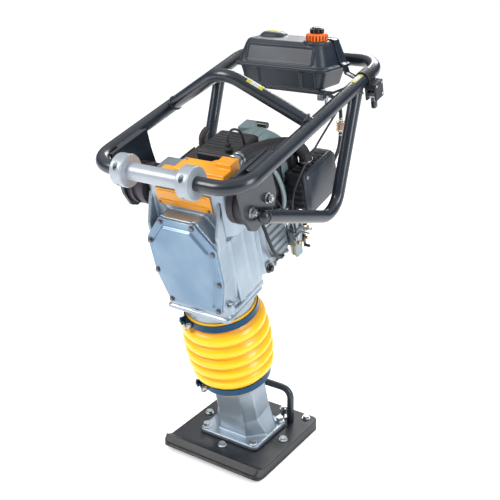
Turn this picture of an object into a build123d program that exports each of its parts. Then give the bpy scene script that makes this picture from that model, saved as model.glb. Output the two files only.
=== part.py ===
from build123d import *
import os
from math import cos, sin, tan, radians, sqrt, pi

# A tamping rammer: an engine-driven upper works that jumps on a spring foot, under a tubular guide frame.
# Part frame, in millimetres: the origin is the centre of the flat sole on the ground, +Z is up and
# -Y is the front, where the transport roller is. The upper works is drawn upright in the machine frame:
# X across, Y back from the leg axis and Z up the leg, and machine() leans it forward onto the shoe.

# ---- driving dimensions ----
LEAN = 15.0                 # forward lean of the leg
LEG_Y = 35.0                # where the leg axis meets the ground
SHOE_WIDTH = 285.0
SHOE_REAR = 155.0
TOE_START = -103.0
TOE_RADIUS = 80.0
TOE_TURN = 40.0
SOLE = 7.0                  # steel sole thickness
PAD_TOP = 29.0              # top of the plastic pad on the sole

CYL_R = 41.92               # outside of the spring cylinder
CYL_BORE = 37.5
GUIDE_R = 42.0
CYL_TOP = 404.0
COLLAR_R = 83.7             # collars that carry the bellows
FOOT_COLLAR = (206.0, 246.0)
GUIDE_COLLAR = (413.0, 478.0)
CONVOLUTIONS = 5

CASE_BOTTOM = 478.0         # crankcase floor, along the leg
GEAR_W = 603.0              # crank gear axis, along the leg
GEAR_MODULE = 2.0
GEAR_TEETH = 66
PINION_TEETH = 13
SHAFT_W = GEAR_W + GEAR_MODULE * (GEAR_TEETH + PINION_TEETH) / 2   # engine shaft axis
CRANK_THROW = 30.0
ROD_LENGTH = 105.0
CRANK_PIN_R = 10.0
WRIST_W = GEAR_W - sqrt(ROD_LENGTH**2 - CRANK_THROW**2)
FIT = 0.08                  # radial clearance of a running fit

HOUSING_TOP = 786.0
MOUNT_W = 746.0             # rubber mounts, along the leg
MOUNT_R = 48.0
PLATE_X = (158.5, 166.5)

TUBE_R = 16.0
TUBE_WALL = 3.0
LOOP_X = 194.5              # frame loop centre line, each side
LOOP_V = (-93.4, 537.0)     # its front and rear bars
LOOP_W = 836.6
LOOP_BEND = 60.0

os.makedirs("parts", exist_ok=True)
NODES = {}


def machine(shape):
    """Lean an upright machine-frame shape onto the shoe."""
    return Pos(0, LEG_Y, 0) * Rot(LEAN, 0, 0) * shape


def row_point(x, v, w):
    """A machine-frame point in the part frame."""
    lean = radians(LEAN)
    return (x, LEG_Y + v * cos(lean) - w * sin(lean), v * sin(lean) + w * cos(lean))


def keep(name, shape, upright=True):
    NODES[name] = machine(shape) if upright else shape


def block(x, v, w):
    """A box from its three (low, high) spans."""
    centre = [(span[0] + span[1]) / 2 for span in (x, v, w)]
    return Pos(*centre) * Box(x[1] - x[0], v[1] - v[0], w[1] - w[0])


def rod_x(r, x, v, w):
    return Pos((x[0] + x[1]) / 2, v, w) * Rot(0, 90, 0) * Cylinder(r, x[1] - x[0])


def rod_v(r, x, v, w):
    return Pos(x, (v[0] + v[1]) / 2, w) * Rot(90, 0, 0) * Cylinder(r, v[1] - v[0])


def rod_w(r, x, v, w):
    return Pos(x, v, (w[0] + w[1]) / 2) * Cylinder(r, w[1] - w[0])


def hex_w(r, x, v, w):
    return Pos(x, v, w[0]) * extrude(RegularPolygon(r, 6), w[1] - w[0])


def hex_v(r, x, v, w):
    """A hexagon head whose axis runs front to back."""
    return Pos(x, v[1], w) * Rot(90, 0, 0) * extrude(RegularPolygon(r, 6), v[1] - v[0])


def hex_x(r, x, v, w):
    return Pos(x[0], v, w) * Rot(0, 90, 0) * extrude(RegularPolygon(r, 6), x[1] - x[0])


def pipe(points, radii, outer, inner=0.0, close=False):
    """A round tube along straight runs joined by tangent arcs."""
    path = FilletPolyline(*points, radius=radii, close=close)
    section = Plane(origin=path @ 0, z_dir=path % 0) * Circle(outer)
    tube = sweep(section, path=path)
    if inner:
        tube -= sweep(Plane(origin=path @ 0, z_dir=path % 0) * Circle(inner), path=path)
    return tube


def bend_radii(points):
    """The largest arc that each corner of a cord's route has room for."""
    spots = [Vector(*point) for point in points]
    runs = [spots[i + 1] - spots[i] for i in range(len(spots) - 1)]
    radii = []
    for before, after in zip(runs, runs[1:]):
        turn = radians(before.get_angle(after))
        radii.append(0.45 * min(before.length, after.length) / tan(turn / 2))
    return radii


def cord(name, points, r):
    radii = bend_radii(points)
    print(name, "radii", [round(radius) for radius in radii])
    return pipe(points, radii, r)


def mirror_x(shape):
    return mirror(shape, about=Plane.YZ)


# ---- shoe ----
def shoe_layer(low, high):
    """One layer of the shoe: flat, with the toe turned up round one centre."""
    turn = radians(TOE_TURN)

    def toe(level, share):
        r = TOE_RADIUS - level
        return (TOE_START - r * sin(turn * share), TOE_RADIUS - r * cos(turn * share))

    outline = [
        Line((SHOE_REAR, low), (TOE_START, low)),
        ThreePointArc((TOE_START, low), toe(low, 0.5), toe(low, 1)),
        Line(toe(low, 1), toe(high, 1)),
        ThreePointArc(toe(high, 1), toe(high, 0.5), (TOE_START, high)),
        Line((TOE_START, high), (SHOE_REAR, high)),
        Line((SHOE_REAR, high), (SHOE_REAR, low)),
    ]
    slab = extrude(Plane.YZ * make_face(outline), SHOE_WIDTH / 2, both=True)
    tip = TOE_START - TOE_RADIUS * sin(turn)
    plan = RectangleRounded(SHOE_WIDTH, SHOE_REAR - tip, 18)
    return slab & Pos(0, (SHOE_REAR + tip) / 2, -5) * extrude(plan, 100)


SHOE_BOLTS = [(0, -88), (-117, 17), (117, 17), (-114, 136), (114, 136)]


def make_shoe():
    sole = shoe_layer(0, SOLE)
    pad = shoe_layer(SOLE, PAD_TOP)
    for x, y in SHOE_BOLTS:
        drill = rod_w(6, x, y, (-1, 40))
        sole -= drill
        pad -= drill
    keep("shoe_sole", sole, upright=False)
    keep("shoe_pad", pad, upright=False)
    bolts = []
    for x, y in SHOE_BOLTS:
        bolt = rod_w(5.9, x, y, (1, PAD_TOP)) + rod_w(11, x, y, (PAD_TOP, PAD_TOP + 2))
        bolts.append(bolt + hex_w(9, x, y, (PAD_TOP + 2, PAD_TOP + 8)))
    return bolts


# ---- foot casting, with the lifting bar ----
def octagon(x_half, y_half, corner, y_mid=0.0):
    points = []
    for sx, sy in ((1, 1), (-1, 1), (-1, -1), (1, -1)):
        near = (sx * x_half, y_mid + sy * (y_half - corner))
        far = (sx * (x_half - corner), y_mid + sy * y_half)
        points += [near, far] if sx == sy else [far, near]
    return Polygon(*points, align=None)


FOOT_NUTS = [(-72, -54), (72, -54), (-72, 71), (72, 71)]
FLANGE_TOP = PAD_TOP + 12


def make_foot():
    flange = Pos(0, 0, PAD_TOP) * extrude(octagon(88, 77, 10, 9), FLANGE_TOP - PAD_TOP)
    flange = fillet(flange.edges().group_by(Axis.Z)[-1], 3)
    shin = machine(Pos(0, 0, 100) * extrude(octagon(62.5, 51.5, 24), 106))
    flare = loft([Pos(0, 0, FLANGE_TOP - 1) * octagon(80, 60, 38, 20),
                  machine(Pos(0, 0, 101) * octagon(62.5, 51.5, 24)).faces()[0]])
    collar = machine(rod_w(COLLAR_R, 0, 0, FOOT_COLLAR))
    collar = chamfer(collar.edges().group_by(Axis.Z)[0], 5)
    casting = flange + flare + shin + collar - machine(rod_w(GUIDE_R, 0, 0, (63, 260)))
    keep("foot_casting", casting, upright=False)
    nuts = []
    for x, y in FOOT_NUTS:
        nuts.append(rod_w(12, x, y, (FLANGE_TOP, FLANGE_TOP + 2)) + hex_w(10, x, y, (FLANGE_TOP + 2, FLANGE_TOP + 12)))
    bar_x, bar_y, bar_top = 86, 102, 124
    route = [(-bar_x, bar_y, PAD_TOP), (-bar_x, bar_y, bar_top), (bar_x, bar_y, bar_top), (bar_x, bar_y, PAD_TOP)]
    keep("lifting_bar", pipe(route, [26, 26], 9), upright=False)
    for x in (-60, 60):
        stud = rod_w(5, x, 106, (PAD_TOP, 62)) + rod_w(12, x, 106, (PAD_TOP, PAD_TOP + 4))
        nuts.append(stud + hex_w(9, x, 106, (46, 56)))
    return nuts


def make_spring_foot():
    cylinder = rod_w(CYL_R, 0, 0, (64, CYL_TOP)) - rod_w(CYL_BORE, 0, 0, (74, CYL_TOP + 1))
    keep("spring_cylinder", cylinder)
    cap = rod_w(CYL_BORE - 0.1, 0, 0, (390, CYL_TOP)) + rod_w(CYL_R, 0, 0, (CYL_TOP, CYL_TOP + 6))
    keep("cylinder_cap", cap - rod_w(14 + FIT, 0, 0, (380, 420)))
    springs = []
    for low, high, turns, mean, wire in ((80, 230, 7, 31, 4.5), (268, 385, 6, 28, 4)):
        coil = Pos(0, 0, low) * Helix(pitch=(high - low) / turns, height=high - low, radius=mean)
        springs.append(sweep(Plane(origin=coil @ 0, z_dir=coil % 0) * Circle(wire), path=coil))
    keep("ram_springs", Compound(springs))
    piston = rod_w(CYL_BORE - FIT, 0, 0, (236, 262)) + rod_w(14, 0, 0, (262, 472))
    fork = block((-17, 17), (-22, 22), (468, WRIST_W + 18)) - block((-18, 18), (-11.5, 11.5), (482, 540))
    keep("piston_rod", piston + fork + rod_v(9, 0, (-22, 22), WRIST_W))


# ---- bellows and its clamps ----
def make_bellows():
    low, high = FOOT_COLLAR[1], GUIDE_COLLAR[0]
    pitch = (high - low) / CONVOLUTIONS

    def lobes(inset):
        arcs = []
        for i in range(CONVOLUTIONS):
            bulge = 4 * sin(pi * (i + 0.5) / CONVOLUTIONS)
            root_a = 92 + 3 * sin(pi * i / CONVOLUTIONS) - inset
            root_b = 92 + 3 * sin(pi * (i + 1) / CONVOLUTIONS) - inset
            start, end = (root_a, low + pitch * i), (root_b, low + pitch * (i + 1))
            arcs.append(ThreePointArc(start, (101 + bulge - inset, low + pitch * (i + 0.5)), end))
        return arcs

    cuff_in, cuff_out = COLLAR_R + 0.4, COLLAR_R + 3.4
    bottom, top = FOOT_COLLAR[0] + 10, GUIDE_COLLAR[0] + 30
    outer, inner = lobes(0), lobes(3.5)
    corners = [inner[0] @ 0, (cuff_in, low), (cuff_in, bottom), (cuff_out, bottom), (cuff_out, low), outer[0] @ 0]
    upper = [outer[-1] @ 1, (cuff_out, high), (cuff_out, top), (cuff_in, top), (cuff_in, high), inner[-1] @ 1]
    face = make_face(outer + inner + [Polyline(*corners), Polyline(*upper)])
    keep("bellows", revolve(Plane.XZ * face, Axis.Z))


def clamp(w_low, w_high, angle):
    """A steel band with two lugs and a cross bolt at one side."""
    inner = COLLAR_R + 3.8
    band = rod_w(inner + 2.6, 0, 0, (w_low, w_high)) - rod_w(inner, 0, 0, (w_low - 1, w_high + 1))
    lug = block((inner + 0.5, inner + 17), (-15, -10), (w_low, w_high))
    lug += block((inner + 0.5, inner + 17), (10, 15), (w_low, w_high))
    mid = (w_low + w_high) / 2
    bolt = rod_v(3.5, inner + 10, (-20, 20), mid) + hex_v(6.5, inner + 10, (15, 20), mid)
    return Rot(0, 0, angle) * (band + lug + bolt + hex_v(6.5, inner + 10, (-20, -15), mid))


# ---- crankcase and drive ----
def case_outline(bottom_half):
    side, shoulder, top = 94, 60, 47
    points = [(bottom_half, CASE_BOTTOM + 10), (side, 570), (side, 664), (top, 722),
              (-top, 722), (-side, 664), (-side, 570), (-bottom_half, CASE_BOTTOM + 10)]
    return Polygon(*points, align=None)


FRONT_V = -78.0
CASE_REAR = 60.0
COVER_BOLTS = [(66, 496), (-66, 496), (86, 575), (-86, 575), (86, 656), (-86, 656), (43, 714), (-43, 714)]


def make_crankcase():
    front = Plane.XZ.offset(-FRONT_V) * case_outline(72)
    middle = Plane.XZ.offset(10) * case_outline(92)
    gear_case = loft([front.faces()[0], middle.faces()[0]])
    gear_case += extrude(middle, 10 + CASE_REAR, dir=(0, 1, 0))
    floor = block((-94, 94), (-78, 60), (CASE_BOTTOM, CASE_BOTTOM + 12))
    floor = chamfer(floor.edges().filter_by(Axis.Z).group_by(Axis.Y)[0], 24)
    upper = block((-113, 113), (-42, CASE_REAR), (672, HOUSING_TOP))
    upper = fillet(upper.edges().filter_by(Axis.Z).group_by(Axis.Y)[0], 34)
    case = gear_case + floor + upper
    case -= rod_v(72, 0, (FRONT_V - 2, 34), GEAR_W)
    case -= rod_v(18, 0, (6, 34), SHAFT_W)
    case -= rod_w(44, 0, 0, (CASE_BOTTOM - 1, 560))
    case -= block((-100, 100), (-30, 50), (700, HOUSING_TOP - 6)) - rod_v(26, 0, (-40, 60), SHAFT_W)
    case -= rod_v(15 + FIT, 0, (30, 56), GEAR_W)
    case -= rod_v(8 + FIT, 0, (30, 62), SHAFT_W)
    keep("crankcase", case)

    flange = extrude(Plane.XZ.offset(-FRONT_V) * case_outline(72), 8)
    panel = Plane.XZ.offset(-FRONT_V + 8) * offset(case_outline(72), -17)
    crown = extrude(panel, 7, taper=30)
    cover = flange + crown
    keep("crankcase_cover", cover)
    heads = []
    for x, w in COVER_BOLTS:
        heads.append(rod_v(5.2, x, (FRONT_V - 13, FRONT_V - 8), w) + rod_v(7.5, x, (FRONT_V - 9.5, FRONT_V - 8), w))
    heads += [rod_v(4, x, (-48, -45.5), 737) for x in (-67, 67)]
    keep("case_screws", Compound(heads))

    guide = rod_w(52, 0, 0, (300, CASE_BOTTOM)) + rod_w(COLLAR_R, 0, 0, (440, CASE_BOTTOM))
    guide += rod_w(COLLAR_R, 0, 0, (GUIDE_COLLAR[0], 441)) - rod_w(76, 0, 0, (GUIDE_COLLAR[0] - 1, 441))
    keep("guide_tube", guide - rod_w(GUIDE_R, 0, 0, (290, 490)))


def toothed(teeth, module, width, phase):
    """A gear blank with thin straight-sided teeth."""
    pitch_r = teeth * module / 2
    step = 360 / teeth
    points = []
    for i in range(teeth):
        for share, r in ((-0.30, pitch_r - 1.2 * module), (-0.13, pitch_r + 0.8 * module),
                         (0.13, pitch_r + 0.8 * module), (0.30, pitch_r - 1.2 * module)):
            angle = radians(phase + step * (i + share))
            points.append((r * cos(angle), r * sin(angle)))
    return extrude(Polygon(*points, align=None), width)


def on_shaft(shape, x, v, w):
    """Stand a shape drawn along +Z on a front-to-back axis, from v towards the front."""
    return Pos(x, v, w) * Rot(90, 0, 0) * shape


def make_drive():
    gear = on_shaft(toothed(GEAR_TEETH, GEAR_MODULE, 18, 90), 0, 32, GEAR_W)
    for angle in (60, 120, 180, 240, 300):
        gear -= on_shaft(Rot(0, 0, angle) * Pos(40, 0, -1) * Cylinder(12, 60), 0, 32, GEAR_W)
    gear += rod_v(15, 0, (30, 54), GEAR_W) + rod_v(18, CRANK_THROW, (12, 30), GEAR_W)
    gear += rod_v(CRANK_PIN_R, CRANK_THROW, (-15, 14), GEAR_W) + rod_v(13, CRANK_THROW, (-15, -11), GEAR_W)
    keep("crank_gear", gear)

    slope = Vector(-CRANK_THROW, 0, WRIST_W - GEAR_W).normalized()
    web = Plane(origin=(CRANK_THROW, 0, GEAR_W), x_dir=(0, 1, 0), z_dir=slope) * Rectangle(12, 22)
    rod = rod_v(19, CRANK_THROW, (-10, 10), GEAR_W) + rod_v(17, 0, (-10, 10), WRIST_W) + extrude(web, ROD_LENGTH)
    rod -= rod_v(CRANK_PIN_R + FIT, CRANK_THROW, (-12, 12), GEAR_W)
    keep("connecting_rod", rod - rod_v(11.8, 0, (-12, 12), WRIST_W))

    pinion = on_shaft(toothed(PINION_TEETH, GEAR_MODULE, 19, -90 + 180 / PINION_TEETH), 0, 32.5, SHAFT_W)
    drum = rod_v(46, 0, (64, 92), SHAFT_W) - rod_v(42, 0, (68, 93), SHAFT_W)
    keep("pinion_drum", pinion + rod_v(8, 0, (30, 65), SHAFT_W) + drum)

    bell = rod_v(64, 0, (CASE_REAR, 100), SHAFT_W) + block((-80, 90), (CASE_REAR, 100), (490, 640))
    bell = fillet(bell.edges().filter_by(Axis.Y).group_by(Axis.Z)[0], 14)
    bell -= rod_v(50, 0, (CASE_REAR - 1, 96), SHAFT_W) + rod_v(16, 0, (95, 101), SHAFT_W)
    keep("clutch_housing", bell - block((-66, 76), (CASE_REAR - 1, 94), (520, 615)))


# ---- rubber mounts, covers ----
def make_covers():
    mount = rod_x(MOUNT_R, (113, 157.5), 0, MOUNT_W)
    mount -= rod_x(MOUNT_R + 1, (129, 143), 0, MOUNT_W) - rod_x(MOUNT_R - 5, (128, 144), 0, MOUNT_W)
    keep("rubber_mounts", Compound([mount, mirror_x(mount)]))
    panel = block((-74, 74), (-45.5, -42), (731, 772))
    panel = fillet(panel.edges().filter_by(Axis.Y), 5)
    keep("front_panel", panel)
    front = [(-86, -32), (88, -32), (88, 16), (64, 30), (-48, 30), (-60, 16), (-86, 16)]
    rear = [(-48, -4), (88, -4), (90, 30), (90, 56), (30, 56), (22, 46), (-48, 46)]
    cover = Pos(0, 0, HOUSING_TOP) * extrude(Polygon(*front, align=None), 8)
    cover += Pos(0, 0, HOUSING_TOP) * extrude(Polygon(*rear, align=None), 16)
    cover += block((48, 90), (24, 56), (HOUSING_TOP, HOUSING_TOP + 28))
    keep("top_cover", cover)


# ---- engine ----
def make_engine():
    engine_block = block((-72, 72), (100, 206), (600, 748))
    engine_block = fillet(engine_block.edges().filter_by(Axis.Y), 22)
    sump = block((-84, 90), (100, 184), (486, 602))
    sump = chamfer(sump.edges().filter_by(Axis.Y).group_by(Axis.Z)[0], 18)
    engine_block += sump + block((-66, 72), (183, 206), (486, 602))
    engine_block -= block((-56, 56), (110, 196), (616, 749)) + block((-70, 60), (108, 178), (500, 592))
    engine_block -= rod_v(9 + FIT, 0, (99, 207), SHAFT_W)
    keep("engine_block", engine_block)

    barrel = rod_w(38, 0, 150, (748, 768))
    for level in range(3):
        fin = block((-56, 56), (104, 200), (750.5 + 6 * level, 753 + 6 * level))
        barrel += fillet(fin.edges().filter_by(Axis.Z), 14)
    keep("cylinder_barrel", barrel - rod_w(28, 0, 150, (747, 762)))
    head = block((-54, 54), (80, 192), (768, 798))
    head = fillet(head.edges().filter_by(Axis.Z), 12)
    head = chamfer(head.edges().group_by(Axis.Z)[-1], 6)
    keep("head_shroud", head)
    plug = rod_w(8, 32, 100, (798, 810)) + rod_w(6, 32, 100, (810, 818))
    lead = [(32, 100, 818), (32, 102, 832), (34, 116, 844), (40, 130, 840), (46, 140, 824), (46, 140, 798)]
    keep("spark_lead", Compound([plug, cord("spark lead", lead, 3)]))

    fan = rod_v(88, 0, (208, 256), SHAFT_W) - rod_v(81, 0, (211, 257), SHAFT_W)
    keep("fan_housing", fan - rod_v(24, 0, (207, 212), SHAFT_W))
    shaft = rod_v(9, 0, (76, 250), SHAFT_W) + rod_v(14, 0, (216, 244), SHAFT_W)
    shaft += rod_v(12, 0, (104 + 10, 190), SHAFT_W)
    keep("engine_crankshaft", shaft)
    shoes = rod_v(40, 0, (73, 90), SHAFT_W) - block((-50, 50), (70, 95), (SHAFT_W - 2, SHAFT_W + 2))
    keep("clutch_shoes", shoes - rod_v(9, 0, (70, 95), SHAFT_W))
    wheel = rod_v(74, 0, (218, 236), SHAFT_W) - rod_v(14, 0, (210, 246), SHAFT_W)
    for angle in range(0, 360, 30):
        wheel += on_shaft(Rot(0, 0, angle) * Pos(58, 0, 0) * Box(26, 3, 10), 0, 241, SHAFT_W)
    keep("flywheel", wheel)

    starter = rod_v(86, 0, (256, 270), SHAFT_W) + rod_v(70, 0, (270, 296), SHAFT_W)
    starter = fillet(starter.edges().group_by(Axis.Y)[-1], 8)
    starter -= rod_v(60, 0, (255, 288), SHAFT_W)
    starter += block((-60, -30), (262, 300), (SHAFT_W + 46, SHAFT_W + 84)) - rod_v(60, 0, (255, 288), SHAFT_W)
    starter += rod_v(8, 0, (262, 292), SHAFT_W)
    starter -= rod_v(3.2, -45, (250, 310), SHAFT_W + 64)
    for angle in (-60, -30, 0, 180, 210, 240):
        starter -= on_shaft(Rot(0, 0, angle) * Pos(38, 0, 0) * Box(26, 7, 60), 0, 296, SHAFT_W)
    starter -= block((-11, 11), (289, 297), (SHAFT_W - 58, SHAFT_W - 44))
    keep("starter_cover", starter)
    keep("stop_switch", block((-10, 10), (290.5, 298), (SHAFT_W - 57, SHAFT_W - 45)))
    reel = rod_v(54, 0, (264, 284), SHAFT_W) - rod_v(8 + FIT, 0, (260, 290), SHAFT_W)
    groove = rod_v(55, 0, (269, 279), SHAFT_W) - rod_v(44, 0, (268, 280), SHAFT_W)
    keep("starter_reel", reel - groove)
    grip = rod_v(6, -45, (301, 314), SHAFT_W + 64) + rod_x(8, (-75, -15), 320, SHAFT_W + 64)
    keep("starter_grip", grip + rod_v(2.2, -45, (291, 302), SHAFT_W + 64))

    can = block((-150, -88), (104, 202), (640, 738))
    can = fillet(can.edges().filter_by(Axis.Y), 20)
    can += rod_x(12, (-89, -72), 150, 700) + rod_w(9, -118, 190, (737, 752))
    keep("muffler", can)


def make_intake():
    carb = block((76, 108), (190, 232), (500, 540)) + rod_w(15, 92, 212, (467, 501))
    carb += block((72, 77), (188, 196), (520, 556)) + rod_v(5, 90, (231, 242), 515)
    carb = carb + rod_w(11, 96, 212, (539, 596))
    keep("carburetor", carb)
    box = block((100, 142), (203, 343), (600, 696))
    box = fillet(box.edges().filter_by(Axis.X), 10)
    for i in range(8):
        box -= block((104, 138), (214 + 15 * i, 219 + 15 * i), (692, 697))
    box += rod_w(13, 104, 212, (596, 602))
    keep("air_cleaner_body", box)
    lid = [(201, 598), (218, 588), (322, 588), (347, 612), (345, 684), (330, 700), (201, 700)]
    lid = extrude(Plane.YZ.offset(142) * Polygon(*lid, align=None), 10)
    keep("air_cleaner_cover", chamfer(lid.edges().group_by(Axis.X)[-1], 3))
    hose = [(70, 74, 797), (70, 102, 797), (76, 150, 787), (83, 206, 770), (102, 250, 752), (121, 262, 726), (121, 262, 696)]
    fitting = rod_v(18, 70, (60.1, 66), 797) + rod_v(14, 70, (65, 74), 797)
    keep("intake_hose", Compound([fitting, cord("intake hose", hose, 15)]))
    throttle_arm = block((109, 112), (180, 202), (523, 531)) + rod_x(2.5, (112, 116), 184, 527)
    keep("carb_throttle_arm", throttle_arm + rod_x(6, (108.5, 114), 198, 527))
    choke = block((109, 112), (220, 228), (483, 517)) + rod_x(5, (108.5, 114), 224, 513) + rod_x(4, (109, 124), 224, 486)
    keep("choke_lever", choke)


# ---- guide frame ----
def loop_bars():
    """The frame loop's two straight side bars, to trim what is welded to them."""
    return rod_v(TUBE_R + 0.05, LOOP_X, (-60, 500), LOOP_W) + rod_v(TUBE_R + 0.05, -LOOP_X, (-60, 500), LOOP_W)


def make_frame():
    loop = [(LOOP_X, LOOP_V[0], LOOP_W), (LOOP_X, LOOP_V[1], LOOP_W), (-LOOP_X, LOOP_V[1], LOOP_W), (-LOOP_X, LOOP_V[0], LOOP_W)]
    ring = pipe(loop, LOOP_BEND, TUBE_R, TUBE_R - TUBE_WALL, close=True)
    keep("frame_loop", ring - rod_w(3, 0, LOOP_V[1], (LOOP_W - 30, LOOP_W)))
    trim = loop_bars()
    stay = pipe([(183.7, -15, 731), (LOOP_X, 238, 577), (LOOP_X, 406, LOOP_W)], [58], 15, 12.5) - trim
    keep("side_stays", Compound([stay, mirror_x(stay)]))
    hoist = pipe([(-LOOP_X, 197, LOOP_W), (0, 167, 958), (LOOP_X, 197, LOOP_W)], [70], 15, 12) - trim
    keep("hoist_bar", hoist)

    outline = [(-62, 848), (-56, 742), (-44, 708), (-26, 697), (0, 700), (52, 716), (66, 740), (60, 800), (60, 848)]
    plate = extrude(Plane.YZ.offset(PLATE_X[0]) * Polygon(*outline, align=None), PLATE_X[1] - PLATE_X[0])
    plate = fillet(plate.edges().filter_by(Axis.X).group_by(Axis.Z)[0], 8)
    weld = block((PLATE_X[1] - 1, LOOP_X - 2), (-24, 58), (LOOP_W - 9, LOOP_W + 9)) - trim
    plate = plate + weld
    for v in (-31, 30):
        plate -= rod_x(6.1, (150, 170), v, MOUNT_W)
    keep("mount_plates", Compound([plate, mirror_x(plate)]))
    bolts = []
    for v in (-31, 30):
        bolts.append(rod_x(12, (PLATE_X[1], PLATE_X[1] + 2), v, MOUNT_W) + hex_x(10, (PLATE_X[1] + 2, PLATE_X[1] + 10), v, MOUNT_W)
                     + rod_x(6, (PLATE_X[0], PLATE_X[1]), v, MOUNT_W))
    keep("mount_bolts", Compound(bolts + [mirror_x(bolt) for bolt in bolts]))


ROLLER_X = (-112, 92)


def make_roller():
    spool = rod_x(19, ROLLER_X, LOOP_V[0], LOOP_W)
    for low in (ROLLER_X[0], ROLLER_X[1] - 30):
        disc = rod_x(36, (low, low + 30), LOOP_V[0], LOOP_W)
        spool += fillet(disc.edges(), 3)
    spool -= rod_x(TUBE_R + FIT, (-130, 130), LOOP_V[0], LOOP_W)
    places = [(low + 15, LOOP_V[0] + side * 26) for low in (ROLLER_X[0], ROLLER_X[1] - 30) for side in (-1, 1)]
    screws = []
    for x, v in places:
        spool -= rod_w(6, x, v, (LOOP_W + 12, LOOP_W + 40)) + rod_w(6, x, v, (LOOP_W - 40, LOOP_W - 12))
        spool -= rod_w(2.6, x, v, (LOOP_W - 20, LOOP_W + 20))
        screw = rod_w(2.5, x, v, (LOOP_W - 18, LOOP_W + 13)) + rod_w(5, x, v, (LOOP_W + 12, LOOP_W + 18))
        screws.append(screw + hex_w(5, x, v, (LOOP_W - 17, LOOP_W - 12)))
    upper = block((-130, 130), (-150, -40), (LOOP_W, LOOP_W + 50))
    keep("transport_roller", Compound([spool & upper, spool - upper]))
    keep("roller_screws", Compound(screws))


# ---- fuel tank (level in use, so it is drawn in the part frame) ----
TANK_Y = 242.0
TANK_SEAM = 943.0
CAP_AT = (82, 216)


def tank_slice(z, x_half, y_half, corner):
    return Pos(0, TANK_Y, z) * RectangleRounded(2 * x_half, 2 * y_half, corner)


def make_tank():
    lower = loft([tank_slice(893, 109, 56, 18), tank_slice(TANK_SEAM - 4, 120, 64, 22)])
    upper = loft([tank_slice(TANK_SEAM + 4, 124, 67, 22), tank_slice(1002, 106, 51, 16)])
    ledge = Pos(0, 0, TANK_SEAM - 5) * extrude(Pos(0, TANK_Y) * RectangleRounded(264, 146, 26), 9.5)
    hump = Pos(0, 0, 1001) * extrude(Pos(-66, 262) * RectangleRounded(56, 44, 12), 12)
    tank = lower + ledge + upper + hump
    hollow = loft([tank_slice(899, 102, 50, 14), tank_slice(TANK_SEAM, 115, 59, 18)])
    hollow += loft([tank_slice(TANK_SEAM, 115, 59, 18), tank_slice(996, 101, 46, 12)])
    tank = tank - hollow + rod_w(21, *CAP_AT, (1000, 1010)) - rod_w(17, *CAP_AT, (990, 1011))
    keep("fuel_tank", tank, upright=False)
    cap = rod_w(26, *CAP_AT, (1003, 1022)) - rod_w(21.5, *CAP_AT, (1002, 1011))
    keep("fuel_cap", fillet(cap.edges().group_by(Axis.Z)[-1], 3), upright=False)
    keep("vent_knob", rod_w(17, *CAP_AT, (1022.3, 1036)) - block((70, 74), (190, 240), (1030, 1040)), upright=False)
    strap = [(-181, 908), (-130, 884), (130, 884), (181, 908), (181, 913), (128, 889), (-128, 889), (-181, 913)]
    cradle = extrude(Plane.XZ.offset(-220) * Polygon(*strap, align=None), 30)
    keep("tank_cradle", cradle - machine(loop_bars()), upright=False)
    tap = rod_w(9, 74, 258, (868, 893)) + block((66, 82), (250, 266), (856, 870))
    tap += Pos(74, 270, 862) * Rot(90, 0, 0) * Cylinder(4.5, 12)
    keep("fuel_tap", tap, upright=False)
    lever = rod_x(6, (83.4, 90), 258, 863) + block((85, 89), (254, 262), (838, 863))
    keep("fuel_tap_lever", lever, upright=False)


# ---- fuel line and throttle ----
def make_lines():
    upper = [(74, 276, 862), (74, 296, 862), (88, 311, 850), (100, 311, 826), (100, 311, 801)]
    keep("fuel_filter", Pos(100, 311, 784) * (Cylinder(11, 26) + Cylinder(5.5, 34)), upright=False)
    lower = [(100, 311, 767), (100, 311, 742), (99, 297, 714), (98, 268, 688), (97, 236, 664),
             (96, 198, 638), row_point(93, 296, 530), row_point(90, 270, 515), row_point(90, 242, 515)]
    hoses = [cord("fuel hose to filter", upper, 4.5), cord("fuel hose to carburettor", lower, 4.5)]
    keep("fuel_hose", Compound(hoses), upright=False)
    housing = rod_v(TUBE_R + 4, LOOP_X, (430, 460), LOOP_W) + block((LOOP_X + 6, LOOP_X + 36), (426, 464), (788, 830))
    housing += block((166, 178), (426, 440), (800, 828)) + rod_v(4.5, 172, (418, 427), 808)
    housing -= rod_v(TUBE_R + 0.05, LOOP_X, (400, 480), LOOP_W)
    housing -= block((LOOP_X + 12, LOOP_X + 30), (415, 470), (780, 815))
    keep("throttle_housing", housing)
    lever = rod_x(9, (LOOP_X + 12.5, LOOP_X + 29.5), 440, 800) + block((LOOP_X + 16, LOOP_X + 26), (434, 446), (766, 800))
    keep("throttle_lever", lever)
    cable = [(172, 418, 808), (172, 396, 808), (164, 362, 793), (157, 328, 772), (152, 288, 752), (150, 246, 734),
             (147, 206, 715), (139, 178, 684), (130, 170, 650), (120, 178, 600), (117, 184, 572), (117, 184, 547)]
    keep("throttle_cable", cord("throttle cable", cable, 2.5))


keep("shoe_fasteners", Compound(make_shoe() + make_foot()), upright=False)
make_spring_foot()
make_bellows()
keep("lower_clamp", clamp(220, 238, 243))
keep("upper_clamp", clamp(420, 438, 243))
make_crankcase()
make_drive()
make_covers()
make_engine()
make_intake()
make_frame()
make_roller()
make_tank()
make_lines()

for name, shape in NODES.items():
    export_step(shape, f"parts/{name}.step")
print(len(NODES), "nodes")
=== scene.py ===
from math import cos, pi, radians, sin, sqrt

import bmesh
import bpy
from mathutils import Matrix, Vector


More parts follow.
